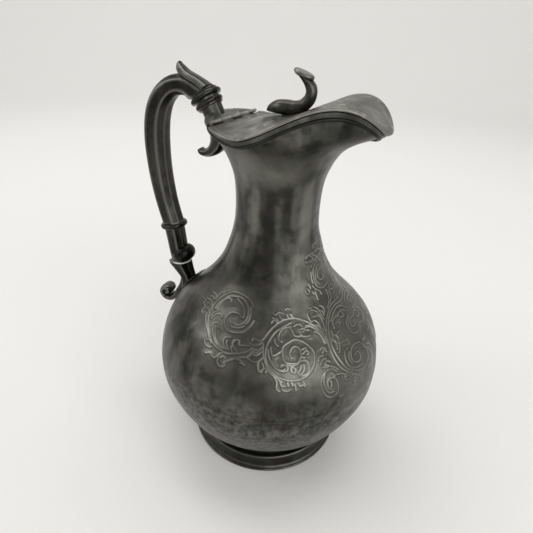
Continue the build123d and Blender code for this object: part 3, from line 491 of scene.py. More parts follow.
# each line is drawn through (degrees from the spout, height in mm)
scrollwork = {
    "sideScroll": [
        [(77, 107.5), (80.5, 105.5), (85.5, 104), (91, 103), (96, 103.5), (100.5, 104.5), (105, 106.5),
         (109.5, 109), (113.5, 112), (115.5, 115.5), (115, 119.5), (110.5, 123.5), (103.5, 126.5), (96, 127),
         (90, 126.5), (85, 125), (82, 123)], [(117, 112), (112.5, 109.5), (108, 107.5), (104.5, 105.5)],
        [(112.5, 116), (112.5, 118.5), (109.5, 121), (106, 123), (103, 123), (101.5, 122)],
        [(111, 117), (110, 120), (106.5, 123.5), (100.5, 125), (94, 125.5), (88.5, 124), (85.5, 121.5),
         (84.5, 118.5), (86, 116), (89, 114.5), (92.5, 114.5), (95.5, 114.5)],
        [(84, 122.5), (83, 119.5), (83.5, 117), (85, 115.5)],
        [(97.5, 124.5), (92.5, 123), (89, 121), (87.5, 118.5), (88, 117.5)],
        [(79.5, 117.5), (81.5, 115), (84.5, 112.5), (88.5, 111.5), (93, 111), (97, 111.5), (99.5, 113),
         (100.5, 115), (99, 117.5), (96, 118.5), (92, 118.5), (89, 117.5)],
        [(96, 114.5), (94, 113), (91, 113), (88, 113.5), (85.5, 114.5)],
        [(94, 114.5), (91.5, 114), (88.5, 114.5)],
        [(110.5, 112), (110, 113.5), (108, 115), (105, 115.5), (103.5, 114.5)],
        [(112, 112.5), (112, 114), (110, 115.5), (109.5, 116.5), (111.5, 116.5)],
        [(107, 109.5), (107, 111), (104.5, 112), (102.5, 111), (102, 110.5)],
        [(104, 110), (101.5, 107.5), (98, 105.5), (93, 104.5)],
        [(105.5, 109), (102.5, 107), (98.5, 105), (94, 104)],
        [(91.5, 109), (94.5, 108.5), (95, 107), (93.5, 105.5), (91.5, 104.5)],
        [(86.5, 109), (88.5, 108.5), (89, 107), (87.5, 106), (85.5, 105)],
        [(90, 104.5), (92.5, 106.5), (92.5, 107.5)], [(85.5, 109), (85, 107.5), (83.5, 107.5), (79, 108)],
        [(88, 104.5), (89, 105.5), (88.5, 106.5)],
    ],
    "sideLeaves": [
        [(119.5, 111.5), (121.5, 111.5), (122, 113), (120, 114), (117, 114), (114.5, 113)],
        [(120, 112), (118.5, 112.5), (116, 112.5), (115, 111.5)],
        [(131, 115.5), (126.5, 116), (125.5, 114.5), (121.5, 114)],
        [(122.5, 115.5), (121.5, 116), (118.5, 116)],
        [(126, 117), (121.5, 117.5), (118, 117), (116, 115.5)],
        [(124.5, 121), (119.5, 121), (117, 119.5)], [(124.5, 118.5), (121.5, 119.5), (118.5, 119)],
        [(117, 120.5), (116, 123), (113.5, 124.5)], [(113, 123.5), (111.5, 125), (108.5, 126)],
        [(106.5, 104), (104, 102.5), (100.5, 102.5)], [(105, 104.5), (103, 105), (101.5, 104)],
        [(102, 99.5), (99.5, 100.5), (96.5, 99.5), (95, 100.5), (93, 102.5)],
        [(100.5, 100.5), (98.5, 101), (97, 100.5)],
        [(94, 101), (94, 99), (92.5, 97.5), (90.5, 97.5), (89.5, 98.5), (90, 100)],
    ],
    "joiningLeaves": [
        [(93, 100.5), (91.5, 101.5), (90, 101)],
        [(90.5, 99), (87.5, 101), (83, 103), (79, 104), (76.5, 106.5), (76, 107)],
        [(84, 102), (82, 102), (79.5, 100.5)], [(82, 101), (81, 101)],
        [(78.5, 110), (77.5, 111), (75.5, 110.5), (73, 110.5), (71, 112), (67.5, 115), (63, 117.5),
         (57, 119), (49.5, 119), (43, 117.5), (39.5, 116)],
        [(79.5, 109), (77, 108.5), (74, 109), (72, 110)], [(76, 107), (73.5, 107), (72, 108)],
        [(77, 105.5), (74.5, 105), (72, 106.5)], [(76, 106), (74, 106), (73.5, 106.5)],
        [(79, 103.5), (75.5, 102.5), (73, 103), (71, 104.5)],
        [(73, 102.5), (73, 101), (72, 99), (71, 99)],
    ],
    "middleScroll": [
        [(71, 102.5), (70, 100.5), (71.5, 99.5)], [(69.5, 100.5), (68.5, 100), (69, 99)],
        [(53.5, 117.5), (59.5, 116), (64.5, 114), (68, 111), (69.5, 108), (69.5, 104.5), (68, 101.5),
         (65, 98.5), (61, 96.5), (57, 95.5), (52.5, 95.5), (48, 97), (45, 99.5), (43, 102.5),
         (42.5, 105.5), (44.5, 108), (48, 110), (52.5, 111), (57, 110), (60, 108.5), (60.5, 106),
         (59.5, 103.5), (56.5, 102.5), (53, 102.5), (51, 104), (50, 106), (51, 108), (53.5, 108.5),
         (55.5, 107.5), (56.5, 106), (55.5, 104.5)],
        [(71.5, 109.5), (71, 106), (69.5, 103), (67.5, 99.5), (64, 97), (61, 95)],
        [(54, 116), (59, 115.5), (62, 113.5), (62.5, 111.5), (60.5, 110.5)],
        [(55, 116), (53.5, 114.5), (52, 112.5), (49, 112), (47, 112.5)],
        [(48.5, 113.5), (47.5, 112), (44, 111.5), (42, 111.5)], [(46, 113.5), (44.5, 114), (41.5, 113.5)],
        [(49, 115), (49, 114), (47.5, 113.5)],
        [(51.5, 116), (50, 116.5), (47, 116.5), (45.5, 115), (48, 114.5)],
        [(43.5, 115.5), (40.5, 115.5), (38, 115), (35.5, 113), (34, 109.5), (33, 108)],
        [(39.5, 116), (36, 114.5), (33.5, 111.5), (32.5, 108.5)],
        [(45.5, 114.5), (41.5, 115), (38, 114), (35, 111), (34, 107.5)],
        [(65, 111.5), (64.5, 110), (63, 109)],
        [(67, 108.5), (66.5, 106.5), (65.5, 105.5), (62.5, 106.5), (60.5, 107.5)],
        [(68.5, 107.5), (67.5, 104.5), (65.5, 102), (62.5, 100), (59.5, 99.5), (58, 100.5), (58.5, 101.5),
         (60, 102), (61.5, 101.5)], [(66.5, 103.5), (64.5, 101), (61, 100), (59.5, 100.5)],
        [(61.5, 102), (61, 102.5), (59.5, 102), (58.5, 101.5)],
        [(58.5, 102.5), (56, 101.5), (53, 102), (51.5, 103)],
        [(56, 99), (56.5, 100), (56, 101), (54.5, 100.5), (54, 99.5), (55, 98.5)],
        [(49, 107), (46.5, 107.5), (46.5, 106.5)], [(49, 105.5), (46.5, 106.5), (45.5, 105.5), (46.5, 105)],
        [(50.5, 103), (48.5, 103), (47, 102), (47, 100), (48, 98), (51, 97)],
        [(49.5, 101.5), (49.5, 100), (50.5, 98.5), (52.5, 97.5)], [(51, 101.5), (51.5, 100), (53, 98.5)],
        [(49.5, 96.5), (47, 98), (45, 100)], [(51, 104), (50, 104.5), (48.5, 104)],
        [(67, 122), (65, 121), (62, 122), (59, 121.5)], [(62, 121), (60.5, 119.5), (58, 119)],
    ],
    "middleLeaves": [
        [(66.5, 119.5), (63.5, 119), (62.5, 117.5)], [(67.5, 117.5), (66, 118.5), (63.5, 118), (64.5, 116.5)],
        [(57, 123), (55, 123.5), (53, 123)], [(56, 121), (54.5, 119.5), (52, 119.5), (53.5, 121)],
        [(52.5, 121), (51, 119.5), (49, 119)], [(65, 97.5), (63.5, 95), (63.5, 92), (62, 90.5)],
        [(62, 95), (61, 93), (59.5, 93)], [(61, 91.5), (59, 90.5), (57.5, 91)],
        [(58.5, 94.5), (58, 93)], [(55, 93.5), (54.5, 90.5)], [(53.5, 94), (52.5, 92.5), (51, 93)],
        [(51, 94.5), (50, 92.5), (50.5, 92)], [(56.5, 94.5), (56, 93)],
    ],
    "risingLeaves": [
        [(36.5, 122), (32, 122), (28.5, 120), (27.5, 117)], [(37.5, 121), (39.5, 119.5), (38.5, 116.5)],
        [(35, 121), (31.5, 120), (29.5, 118)], [(26, 121.5), (23.5, 120), (24, 118)],
        [(29, 119.5), (26, 119), (25.5, 117)], [(35, 118), (30, 117.5), (29, 115), (30, 111.5)],
        [(32.5, 118.5), (28.5, 118), (27.5, 115.5)],
        [(39, 116), (35, 116.5), (32, 113.5), (31.5, 109.5), (32.5, 107)],
        [(38, 115), (33.5, 114), (32.5, 111), (32.5, 108)], [(38, 112.5), (34.5, 110.5), (33.5, 107)],
    ],
    "cartouche": [
        [(2.5, 119.5), (15.5, 119), (23.5, 116), (28, 112.5), (31, 108.5), (32, 103.5), (31, 98.5),
         (28, 93.5), (23, 89.5)],
        [(0.5, 117), (11, 118), (19.5, 116.5), (25, 113.5), (28.5, 109.5), (30, 105.5), (29.5, 101),
         (27.5, 96)], [(1, 113), (4.5, 115.5), (11, 116.5), (17.5, 115.5), (22.5, 113.5)],
        [(5, 113), (8.5, 114.5), (14.5, 114)], [(22.5, 110.5), (22, 112.5), (18, 114), (13.5, 113.5)],
        [(20, 111.5), (17.5, 112), (16, 110.5)], [(26, 110), (27, 107.5), (29.5, 106.5)],
        [(25.5, 108.5), (23.5, 107), (25, 104), (27, 101.5)], [(27, 106), (24, 104.5), (20.5, 104.5)],
        [(28.5, 107.5), (26.5, 106), (27.5, 103)], [(20.5, 104), (17.5, 104), (18.5, 102)],
        [(9, 114.5), (9, 112), (13, 112.5)], [(19.5, 108.5), (23.5, 108), (23.5, 106)],
        [(5.5, 110.5), (10.5, 109.5), (12.5, 106.5), (10.5, 104), (5.5, 103), (0.5, 104.5)],
        [(0, 108.5), (5, 109), (8, 107.5), (7.5, 106), (3.5, 106), (3.5, 107)],
        [(6, 110), (10.5, 108), (11, 106)],
        [(10, 99.5), (15.5, 100.5), (19, 99.5), (21, 96.5), (19.5, 93.5), (15.5, 92.5), (14, 94.5),
         (15, 97), (18, 96.5)],
    ],
    "cartoucheRest": [
        [(9.5, 98.5), (7, 94), (8, 89), (12, 86.5), (18.5, 88), (23.5, 92.5), (25, 97),
         (23.5, 100.5), (20.5, 101)], [(8.5, 96), (4, 91), (4.5, 85.5), (9.5, 84)],
        [(7.5, 99), (4, 98.5), (7.5, 98)], [(24.5, 99), (24.5, 95), (20.5, 91), (15, 89.5)],
        [(6, 96), (2.5, 94), (2, 91)], [(9.5, 83.5), (5, 83)],
        [(21, 99.5), (22.5, 97), (21.5, 93.5)], [(28, 97.5), (26, 93.5), (22.5, 90.5)],
        [(28, 89.5), (27, 91), (24.5, 90.5), (23.5, 88.5), (25.5, 87.5), (28, 88), (28, 89.5)],
        [(27, 89.5), (25, 89.5)], [(32.5, 93), (30, 92.5), (28, 91)],
        [(22.5, 88.5), (20, 86), (21, 83.5), (23, 84.5)], [(22, 86.5), (22, 83), (24, 82)],
        [(19, 86), (17.5, 82.5)], [(38, 105.5), (36.5, 106), (34.5, 105)],
        [(37.5, 104), (36, 105), (34.5, 104)], [(41, 101.5), (40, 103), (37.5, 103)],
        [(40.5, 100), (38.5, 101.5), (36.5, 101.5)], [(38, 99.5), (36, 100.5), (34.5, 99.5)],
        [(39.5, 98.5), (37.5, 99), (36, 98.5)], [(38.5, 98), (35.5, 98), (32.5, 96.5), (31.5, 95)],
        [(37.5, 96.5), (34.5, 96.5), (32.5, 94.5)],
        [(37, 97), (40, 95.5), (42, 92), (41.5, 87.5), (39.5, 83.5), (36, 82), (33.5, 84),
         (33, 88), (34, 91.5), (36.5, 92.5), (38.5, 91.5), (38.5, 88), (36.5, 86.5)],
        [(39, 96), (40.5, 92.5), (40, 88.5), (38, 85), (35.5, 85)], [(37, 91.5), (36.5, 89), (37, 88)],
        [(35, 94), (34, 93), (35, 92.5)], [(32.5, 80), (30.5, 80.5)],
        [(19.5, 119), (14, 122), (12, 125), (12.5, 126.5)], [(15, 120), (10.5, 122), (9, 125)],
        [(5.5, 127), (6.5, 125), (1.5, 124), (-0.5, 125), (2.5, 126.5)],
        [(15, 142), (21, 138.5), (22.5, 134), (21, 130), (15, 128), (6, 128.5)],
        [(6, 137.5), (13, 137), (16.5, 134.5), (14.5, 132), (8.5, 132), (8.5, 134)],
        [(13.5, 140), (18.5, 136.5), (20, 132.5), (17, 130)], [(24.5, 138), (25.5, 135), (25, 132)],
        [(26.5, 131), (24, 129), (20.5, 127.5)], [(28.5, 143.5), (23, 144), (15, 143.5), (12, 141.5)],
        [(29, 146), (23.5, 147.5), (15.5, 147.5)], [(24, 147), (19, 145), (23, 143)],
        [(23.5, 140.5), (20, 142), (16.5, 143)], [(15.5, 150), (16, 151.5), (10, 152)],
        [(12.5, 147.5), (5.5, 148), (0.5, 146.5), (4, 144.5)], [(19, 147), (11.5, 144.5), (6, 141)],
        [(2, 145), (12, 144), (19, 143.5)],
        [(34.5, 130.5), (36, 129.5), (34, 128), (31.5, 129), (33, 130.5)],
        [(31, 132.5), (29.5, 130.5), (32, 129.5)], [(25.5, 128), (25.5, 126), (25.5, 124)],
        [(28.5, 128.5), (27.5, 127)], [(20, 127), (19.5, 125.5)],
    ],
}


def wallPoint(azimuth, z):  # azimuth in degrees from the spout, towards the near side
    radius = bodyRadius(z)
    a = math.radians(azimuth)
    return Vector((radius * math.cos(a), -radius * math.sin(a), z))


def lineSamples():
    points = []
    for group in scrollwork.values():
        for line in group:
            length = sum((wallPoint(*q) - wallPoint(*p)).length for p, q in zip(line, line[1:]))
            count = max(3, int(length / chasing["sample"]))
            for i in range(count + 1):
                near = wallPoint(*catmull(line, i / count))
                points += [near, Vector((near.x, -near.y, near.z))]
    return points


def makeBelt(name, start, end, cell):  # start and end in degrees from the spout, towards the near side
    c = chasing
    bm = bmesh.new()
    levels = arcLevels(c["low"], c["high"], cell)
    spread = math.radians(end - start)
    turn(bm, [(bodyRadius(z), z) for z in levels], int(abs(spread) * c["meanRadius"] / cell), -spread)
    bmesh.ops.rotate(bm, cent=(0, 0, 0), matrix=Matrix.Rotation(-math.radians(start), 3, "Z"), verts=bm.verts)
    bmesh.ops.recalc_face_normals(bm, faces=bm.faces)
    if bm.faces[0].normal.dot(bm.faces[0].calc_center_median() * Vector((1, 1, 0))) < 0:
        bmesh.ops.reverse_faces(bm, faces=bm.faces)
    lineLayer = bm.verts.layers.float.new("chasing")
    rubAndSheenLayer = bm.verts.layers.float.new("rubbedAndSheen")
    for vert in bm.verts:
        near, _, distance = chasedLines.find(vert.co)
        if distance > c["reach"]:
            continue
        inside = min(c["high"] - vert.co.z, vert.co.z - c["low"]) / c["fade"]
        # painted broad highlight around the lines, also read as rubbing
        vert[rubAndSheenLayer] = bump(distance, c["rubSheenWidth"]) * min(max(inside, 0), 1)
        if distance > c["swellReach"] * c["swellWidth"]:
            continue
        # the groove keeps below its line, so its dark tone lies there as painted shadow
        under = max((near.z - vert.co.z) / max(distance, 0.05), 0)
        ridge = bump(distance, c["ridgeWidth"])
        groove = bump(distance - c["grooveOut"], c["grooveWidth"]) * (1 - c["lean"] + c["lean"] * under)
        swell = c["swellHeight"] * bump(distance, c["swellWidth"])
        outward = Vector((vert.co.x, vert.co.y, 0)).normalized()
        vert.co += outward * (swell + c["ridgeHeight"] * ridge - c["grooveDepth"] * groove)
        vert[lineLayer] = ridge - c["grooveTone"] * groove
    return finish(bm, name, "jug", chasedMetal, smooth=math.pi, clean=False)


def makeBowl():
    bm = bmesh.new()
    levels = arcLevels(vessel["baseHeight"], chasing["low"], vessel["bowlStep"])
    turn(bm, vessel["floor"] + [(bodyRadius(z), z) for z in levels], 2 * vessel["turns"])
    return finish(bm, "bowl_skin", "jug", bodyMetal, ["lower_bowl"])


mouth = {  # mm
    "softLow": 196.0, "softHigh": 212.0, "softRise": 0.21, "softRounds": 60,  # the band that is eased
    "lip": 4.2,       # the part under the rim that stays upright
    "apart": 1000.0,  # the inner face is turned this much higher, to tell it from the outer one
}


def softenFlare(bm):  # ease the turn from the flare into the upright lip
    low, high = mouth["softLow"], mouth["softHigh"]
    band = [v for v in bm.verts if low < v.co.z < high + mouth["softRise"] * max(v.co.x, 0)
            and v.co.z < rimHeight(v.co.x) - mouth["lip"]]
    for _ in range(mouth["softRounds"]):
        bmesh.ops.smooth_vert(bm, verts=band, factor=0.5, use_axis_x=True, use_axis_y=True, use_axis_z=True)


def shapeMouth(bm):  # pull the turned mouth out to the spout and up to the saddle-shaped rim
    base, top = vessel["mouthBase"], vessel["mouthHeight"]
    for vert in bm.verts:
        angle = math.atan2(vert.co.y, vert.co.x)
        inner = vert.co.z > mouth["apart"] / 2
        level = vert.co.z - mouth["apart"] if inner else vert.co.z
        z = level
        if level > base:
            z = base + (level - base) / (top - base) * (rimHeight(rimPlan(angle) * math.cos(angle)) - base)
        radius = outlineRadius(angle, z)
        if inner:
            slope = outlineRadius(angle, z + 0.5) - outlineRadius(angle, z - 0.5)
            radius -= vessel["wall"] * math.sqrt(1 + slope * slope)
        vert.co = Vector((radius * math.cos(angle), radius * math.sin(angle), z))


def makeNeck():
    bm = bmesh.new()
    levels = arcLevels(chasing["high"], vessel["mouthHeight"], vessel["neckStep"])
    outside = [(bodyRadius(z), z) for z in levels]
    inside = [(bodyRadius(z) - vessel["wall"], z + mouth["apart"]) for z in reversed(levels)]
    turn(bm, outside + inside, closed=True)
    shapeMouth(bm)
    bmesh.ops.remove_doubles(bm, verts=bm.verts, dist=0.0005)
    softenFlare(bm)
    return finish(bm, "neck_skin", "jug", bodyMetal, ["upper_body"])


lining = {"low": 16.0, "step": 2.5, "turns": 128, "floor": [(0.0, 11.7), (30.0, 11.8), (37.0, 12.9)]}  # mm


def makeLining():  # the inside of the bowl and belly, seen down the neck when the lid is open
    bm = bmesh.new()
    levels = arcLevels(lining["low"], chasing["high"] + 1, lining["step"])
    wall = [(bodyRadius(z) - vessel["wall"] * 1.1, z) for z in levels]  # a hair inside the wall of the neck
    turn(bm, lining["floor"] + wall, lining["turns"])
    bmesh.ops.remove_doubles(bm, verts=bm.verts, dist=0.01)
    bmesh.ops.recalc_face_normals(bm, faces=bm.faces)
    bmesh.ops.reverse_faces(bm, faces=bm.faces)
    return finish(bm, "vessel_lining", "jug", insideMetal, clean=False)


samples = lineSamples()
chasedLines = kdtree.KDTree(len(samples))
for i, point in enumerate(samples):
    chasedLines.insert(point, i)
chasedLines.balance()
makeBowl()
for name, start in (("front_near", 0), ("side_near", 66), ("front_far", -66), ("side_far", -132)):
    makeBelt("chased_belt_" + name, start, start + 66, chasing["cell"])
makeBelt("plain_belt_back", 132, 228, chasing["plainCell"])
makeNeck()
makeLining()
print("vessel made:", len(samples), "chasing samples")


# foot

foot = {"radius": 51.2, "bandHeight": 11.4, "neckRadius": 42.6}  # mm


def makeFoot():
    bm = bmesh.new()
    r, top = foot["radius"], foot["bandHeight"]
    outside = [(r - 2.2, 0.0), (r - 0.3, 0.0), (r, 0.4), (r, 1.9), (r - 0.4, 2.5), (r - 0.9, 2.9),
               (r - 1.1, 4.5), (r - 1.3, 7.5), (r - 1.3, top - 1.8), (r - 1.35, top - 0.9),
               (r - 1.7, top - 0.25), (r - 2.4, top), (r - 3.3, top + 0.02), (r - 3.7, top - 0.15)]
    cove = [(r - 4.6, top - 0.55), (r - 5.6, top - 0.35), (r - 6.6, top + 0.35), (r - 7.5, top + 1.5),
            (foot["neckRadius"] + 0.3, top + 2.9), (foot["neckRadius"], top + 3.2), (41.2, 13.5)]
    inside = [(41.6, top - 0.9), (r - 4.6, top - 1.6), (r - 3.0, top - 3.4), (r - 2.2, 2.0)]
    turn(bm, outside + cove + inside, closed=True)
    markEdges(bm, 0.2, 0.7)
    return finish(bm, "foot_casting", "jug", footMetal, ["foot_ring"], math.radians(50))


makeFoot()
print("foot made")


# rim moulding: a half-round wire, bent to the rim and thinner under the spout

moulding = {
    "drop": 2.0, "height": 1.7, "proud": 0.9, "segments": 8,  # mm
    "thinning": 0.7, "spread": 0.3,  # share and radians
}
blank = 100.0  # mm, radius of the plain ring or disc that is turned first and then laid along the rim


def makeMoulding():
    m = moulding
    bm = bmesh.new()
    ring = []
    for i in range(m["segments"] + 1):
        a = math.pi * i / m["segments"]
        ring.append((blank + math.sin(a), math.cos(a)))
    ring.append((blank - 0.4, 0.0))
    turn(bm, ring, closed=True)
    for vert in bm.verts:
        angle = math.atan2(vert.co.y, vert.co.x)
        thinner = 1 - m["thinning"] * bump(angle, m["spread"])
        proud = (math.hypot(vert.co.x, vert.co.y) - blank) * m["proud"] * thinner
        z = rimHeight(rimPlan(angle) * math.cos(angle)) - m["drop"] - m["height"] * (0.5 - 0.5 * vert.co.z)
        slope = outlineRadius(angle, z + 0.5) - outlineRadius(angle, z - 0.5)
        reach = proud / math.sqrt(1 + slope * slope)
        radius = outlineRadius(angle, z) + reach
        vert.co = Vector((radius * math.cos(angle), radius * math.sin(angle), z - slope * reach))
    return finish(bm, "rim_bead", "jug", beadMetal, ["rim_moulding"])


makeMoulding()
print("rim moulding made")


# cover: the moving leaf and the small fixed leaf are cut from one domed sheet

cover = {  # mm
    "gap": 0.3, "sheet": 1.1, "overhang": 0.7, "clear": 1.15, "middle": 5.0,
    "dome": [(-27.0, 0.0, 0.0), (-8.0, 5.2, 0.0), (14.0, 0.9, -0.08), (30.0, 0.4, 0.0), (46.0, 0.1, 0.0)],
    "band": 3.1, "bandRise": 0.22, "bandEdge": 0.5,                  # the raised border
    "lineDepth": 0.12, "lineOut": 0.3, "lineWidth": 0.35,            # the line cut inside it
    "crease": [(-9.0, 0.0), (-6.0, 12.0), (-3.0, 24.0), (1.0, 36.0)],  # in plan, one side
    "creaseHeight": 0.8, "creaseWidth": 0.8, "creaseFade": 6.0,
    "turns": 288, "rings": [0.04 * i for i in range(21)] + [  # closer together across the border
        0.83, 0.86, 0.875, 0.888, 0.9, 0.908, 0.916, 0.924, 0.933, 0.945, 0.96, 0.975, 0.988, 0.996, 1.0],
}
hinge = {  # mm
    "x": -28.0, "z": 212.813, "radius": 1.0, "length": 50.0, "count": 5, "gap": 0.25, "rounding": 0.2,
    "strap": 1.9, "strapDrop": 0.75, "strapThick": 0.5,  # the tongue that joins a tube to its leaf
}


def domeHeight(x):
    return 0.0 if x <= cover["dome"][0][0] else hermite(cover["dome"], x)


def creaseX(y):
    line = cover["crease"]
    return catmull([(x,) for x, _ in line], abs(y) / line[-1][1])[0]


def coverHeight(x, y, edge):  # edge is the distance from the outline
    c = cover
    half = math.sqrt(max(vessel["mouthRadius"] ** 2 - min(x, 0) ** 2, 1))
    share = min(abs(y) / half, 1)
    z = rimHeight(x) + c["gap"] + domeHeight(x) * (1 - share * share) ** 2
    z += c["creaseHeight"] * bump(x - creaseX(y), c["creaseWidth"]) * min(edge / c["creaseFade"], 1)
    z += c["bandRise"] * (1 - min(max((edge - c["band"]) / c["bandEdge"], 0), 1))
    z -= c["lineDepth"] * bump(edge - c["band"] - c["lineOut"], c["lineWidth"])
    return z


def makeLeaf(name, front, stands, body):
    bm = bmesh.new()
    turn(bm, [(blank * share, 0) for share in cover["rings"]], cover["turns"])
    wornAndHighlit = bm.verts.layers.float.new("wearAndHighlight")
    for vert in bm.verts:
        angle = math.atan2(vert.co.y, vert.co.x)
        share = math.hypot(vert.co.x, vert.co.y) / blank
        reach = rimPlan(angle) + cover["overhang"]
        x = cover["middle"] * (1 - share) + share * reach * math.cos(angle)
        y = share * reach * math.sin(angle)
        edge = (1 - share) * reach
        vert.co = Vector((x, y, coverHeight(x, y, edge)))
        # the crease, the border and the edge: wear, and painted highlights
        onCrease = bump(x - creaseX(y), 0.7) * min(edge / cover["creaseFade"], 1)
        vert[wornAndHighlit] = max(onCrease, 0.45 * bump(edge - cover["band"] + 0.2, 0.4), 0.6 * bump(edge, 0.35))
    side = 1 if front else -1
    cut = hinge["x"] + side * cover["clear"]
    bmesh.ops.bisect_plane(bm, geom=bm.verts[:] + bm.edges[:] + bm.faces[:], plane_co=(cut, 0, 0),
                           plane_no=(-side, 0, 0), clear_outer=True)
    bmesh.ops.remove_doubles(bm, verts=bm.verts, dist=0.01)
    bmesh.ops.recalc_face_normals(bm, faces=bm.faces)
    if sum(face.normal.z for face in bm.faces) < 0:
        bmesh.ops.reverse_faces(bm, faces=bm.faces)
    piece = finish(bm, name, body, lidMetal, stands, clean=False)
    wall = piece.modifiers.new("sheet", "SOLIDIFY")
    wall.thickness = cover["sheet"] * mm
    wall.offset = 1.0
    return piece


def makeKnuckles(name, front, stands, body):  # the front leaf carries every second tube
    bm = bmesh.new()
    h = hinge
    pitch = h["length"] / h["count"]
    side = 1 if front else -1
    for i in range(h["count"]):
        if (i % 2 == 1) != front:
            continue
        start = -h["length"] / 2 + i * pitch + h["gap"] / 2
        length = pitch - h["gap"]
        middle = start + length / 2
        across = Matrix.Translation((h["x"], middle, h["z"])) @ Matrix.Rotation(math.pi / 2, 4, "X")
        made = bmesh.ops.create_cone(bm, segments=24, cap_ends=True, radius1=h["radius"], radius2=h["radius"],
                                     depth=length, matrix=across)
        rims = [e for e in bm.edges if e.verts[0] in made["verts"] and e.calc_face_angle(0) > 1]
        bmesh.ops.bevel(bm, geom=rims, affect="EDGES", offset=h["rounding"], segments=2, profile=0.5,
                        material=-1)
        strap = Matrix.Translation((h["x"] + side * h["strap"] / 2, middle, h["z"] - h["strapDrop"]))
        strap = strap @ Matrix.Diagonal((h["strap"], length, h["strapThick"], 1))
        bmesh.ops.create_cube(bm, size=1.0, matrix=strap)
    return finish(bm, name, body, hingeMetal, stands, clean=False)


makeLeaf("cover_leaf", True, ["lid_leaf"], "lid")
makeLeaf("fixed_leaf", False, ["rear_cover"], "jug")
makeKnuckles("moving_knuckles", True, ["lid_knuckles"], "lid")
makeKnuckles("fixed_knuckles", False, ["rear_knuckles"], "jug")
print("cover made")


# castings that are drawn along a line in the middle plane

def placeSection(station):  # a station is (x, z, turn in degrees, size in the middle plane, size across)
    x, z, turned, thick, across = station
    a = math.radians(turned)
    c, s = math.cos(a), math.sin(a)
    turnedTo = Matrix(((c, 0, -s, x), (0, 1, 0, 0), (s, 0, c, z), (0, 0, 0, 1)))
    return turnedTo @ Matrix.Diagonal((thick, across, 1, 1))


def sweep(bm, section, stations):  # a section of size 1, drawn along the stations and closed at both ends
    before = placeSection(stations[0])
    ring = [bm.verts.new(before @ Vector((u, v, 0))) for u, v in section]
    first = edges = [bm.edges.new((a, b)) for a, b in zip(ring, ring[1:] + ring[:1])]
    for station in stations[1:]:
        after = placeSection(station)
        grown = bmesh.ops.extrude_edge_only(bm, edges=edges)["geom"]
        verts = [g for g in grown if isinstance(g, bmesh.types.BMVert)]
        kept = set(verts)
        edges = [g for g in grown if isinstance(g, bmesh.types.BMEdge) and all(v in kept for v in g.verts)]
        bmesh.ops.transform(bm, matrix=after @ before.inverted(), verts=verts)
        before = after
    for loop in (first, edges):
        bmesh.ops.contextual_create(bm, geom=loop)


def smoothStations(stations, count):
    return [catmull(stations, i / count) for i in range(count + 1)]


def oval(count, power=1.0):  # a power below 1 squares it
    points = []
    for i in range(count):
        a = 2 * math.pi * i / count
        c, s = math.cos(a), math.sin(a)
        points.append((math.copysign(abs(c) ** power, c), math.copysign(abs(s) ** power, s)))
    return points


def gripSection():  # eight sides, hollowed a little, with a small flat along each edge
    corners = [(1, 0.4), (0.52, 1), (-0.52, 1), (-1, 0.4), (-1, -0.4), (-0.52, -1), (0.52, -1), (1, -0.4)]
    points = []
    for i, (x, y) in enumerate(corners):
        nx, ny = corners[(i + 1) % 8]
        for t, pull in ((0.08, 1.0), (0.22, 0.99), (0.5, 0.975), (0.78, 0.99), (0.92, 1.0)):
            if i in (3, 7):  # the two sides across the handle stay full
                pull = 1 + (1 - pull) * 0.4
            points.append(((x + (nx - x) * t) * pull, (y + (ny - y) * t) * pull))
    return points


handle = {
    "width": 14.6, "depth": 13.4, "depthShare": 0.75,  # mm, and how far the depth follows the size
    "grip": [  # x, z, turn in degrees, size
        (-46.5, 221.9, 34, 0.86), (-51.4, 223.4, 48, 0.84), (-58.4, 226.0, 88, 0.76),
        (-66.6, 224.6, 118, 0.76), (-73.4, 219.2, 142, 0.86), (-78.0, 211.2, 158, 0.97),
        (-80.4, 201.6, 172, 1.02), (-81.2, 190.0, 180, 1.03), (-80.7, 177.0, 185, 1.0),
        (-79.2, 165.0, 189, 0.97), (-77.0, 153.6, 192, 0.94), (-73.5, 141.2, 191, 0.93)],
    "ferrule": [
        (-73.0, 138.0, 191, 0.88), (-71.8, 130.0, 190, 0.86), (-70.6, 122.0, 188.5, 0.85),
        (-68.9, 114.2, 187, 0.86)],
}


def sized(line):
    wide, deep, share = handle["width"] / 2, handle["depth"] / 2, handle["depthShare"]
    return [(x, z, a, wide * s, deep * (1 - share + share * s)) for x, z, a, s in line]


upperMount = [  # x, z, turn in degrees, half thickness in the middle plane, half width across
    (-45.2, 219.9, 34, 6.5, 6.7), (-44.3, 218.4, 34, 6.1, 6.4), (-42.2, 215.2, 31, 5.6, 6.0),
    (-39.7, 210.4, 22, 5.4, 5.7), (-37.9, 205.0, 10, 5.4, 5.2), (-37.6, 200.2, -8, 5.2, 4.8),
    (-39.3, 195.8, -36, 4.4, 4.4), (-42.6, 192.4, -62, 3.1, 4.0), (-46.2, 190.8, -84, 2.3, 3.6),
    (-49.2, 191.0, -108, 1.9, 3.3), (-50.6, 192.4, -140, 1.3, 2.6)]
lowerMount = {
    "body": [  # as above
        (-70.0, 112.9, 7, 8.0, 6.6), (-69.5, 111.6, 7, 7.6, 6.4), (-67.4, 107.8, 4, 6.5, 5.7),
        (-64.6, 102.6, 2, 5.2, 5.0), (-64.2, 97.0, -8, 4.8, 4.7), (-66.0, 92.0, -24, 4.4, 4.6)],
    "arm": [
        (-65.6, 99.0, -6, 3.8, 4.3), (-67.4, 93.6, -28, 3.6, 4.5), (-70.8, 88.6, -44, 3.0, 4.8),
        (-74.6, 83.6, -58, 2.5, 5.0), (-78.8, 80.2, -76, 2.1, 5.2), (-83.4, 80.6, -114, 1.9, 5.3),
        (-85.7, 84.2, -162, 1.9, 5.3), (-84.0, 87.8, -216, 2.0, 5.2), (-80.9, 87.6, -275, 2.1, 5.0),
        (-80.2, 85.4, -335, 2.2, 4.8), (-82.0, 84.4, -400, 2.3, 4.6)],
}
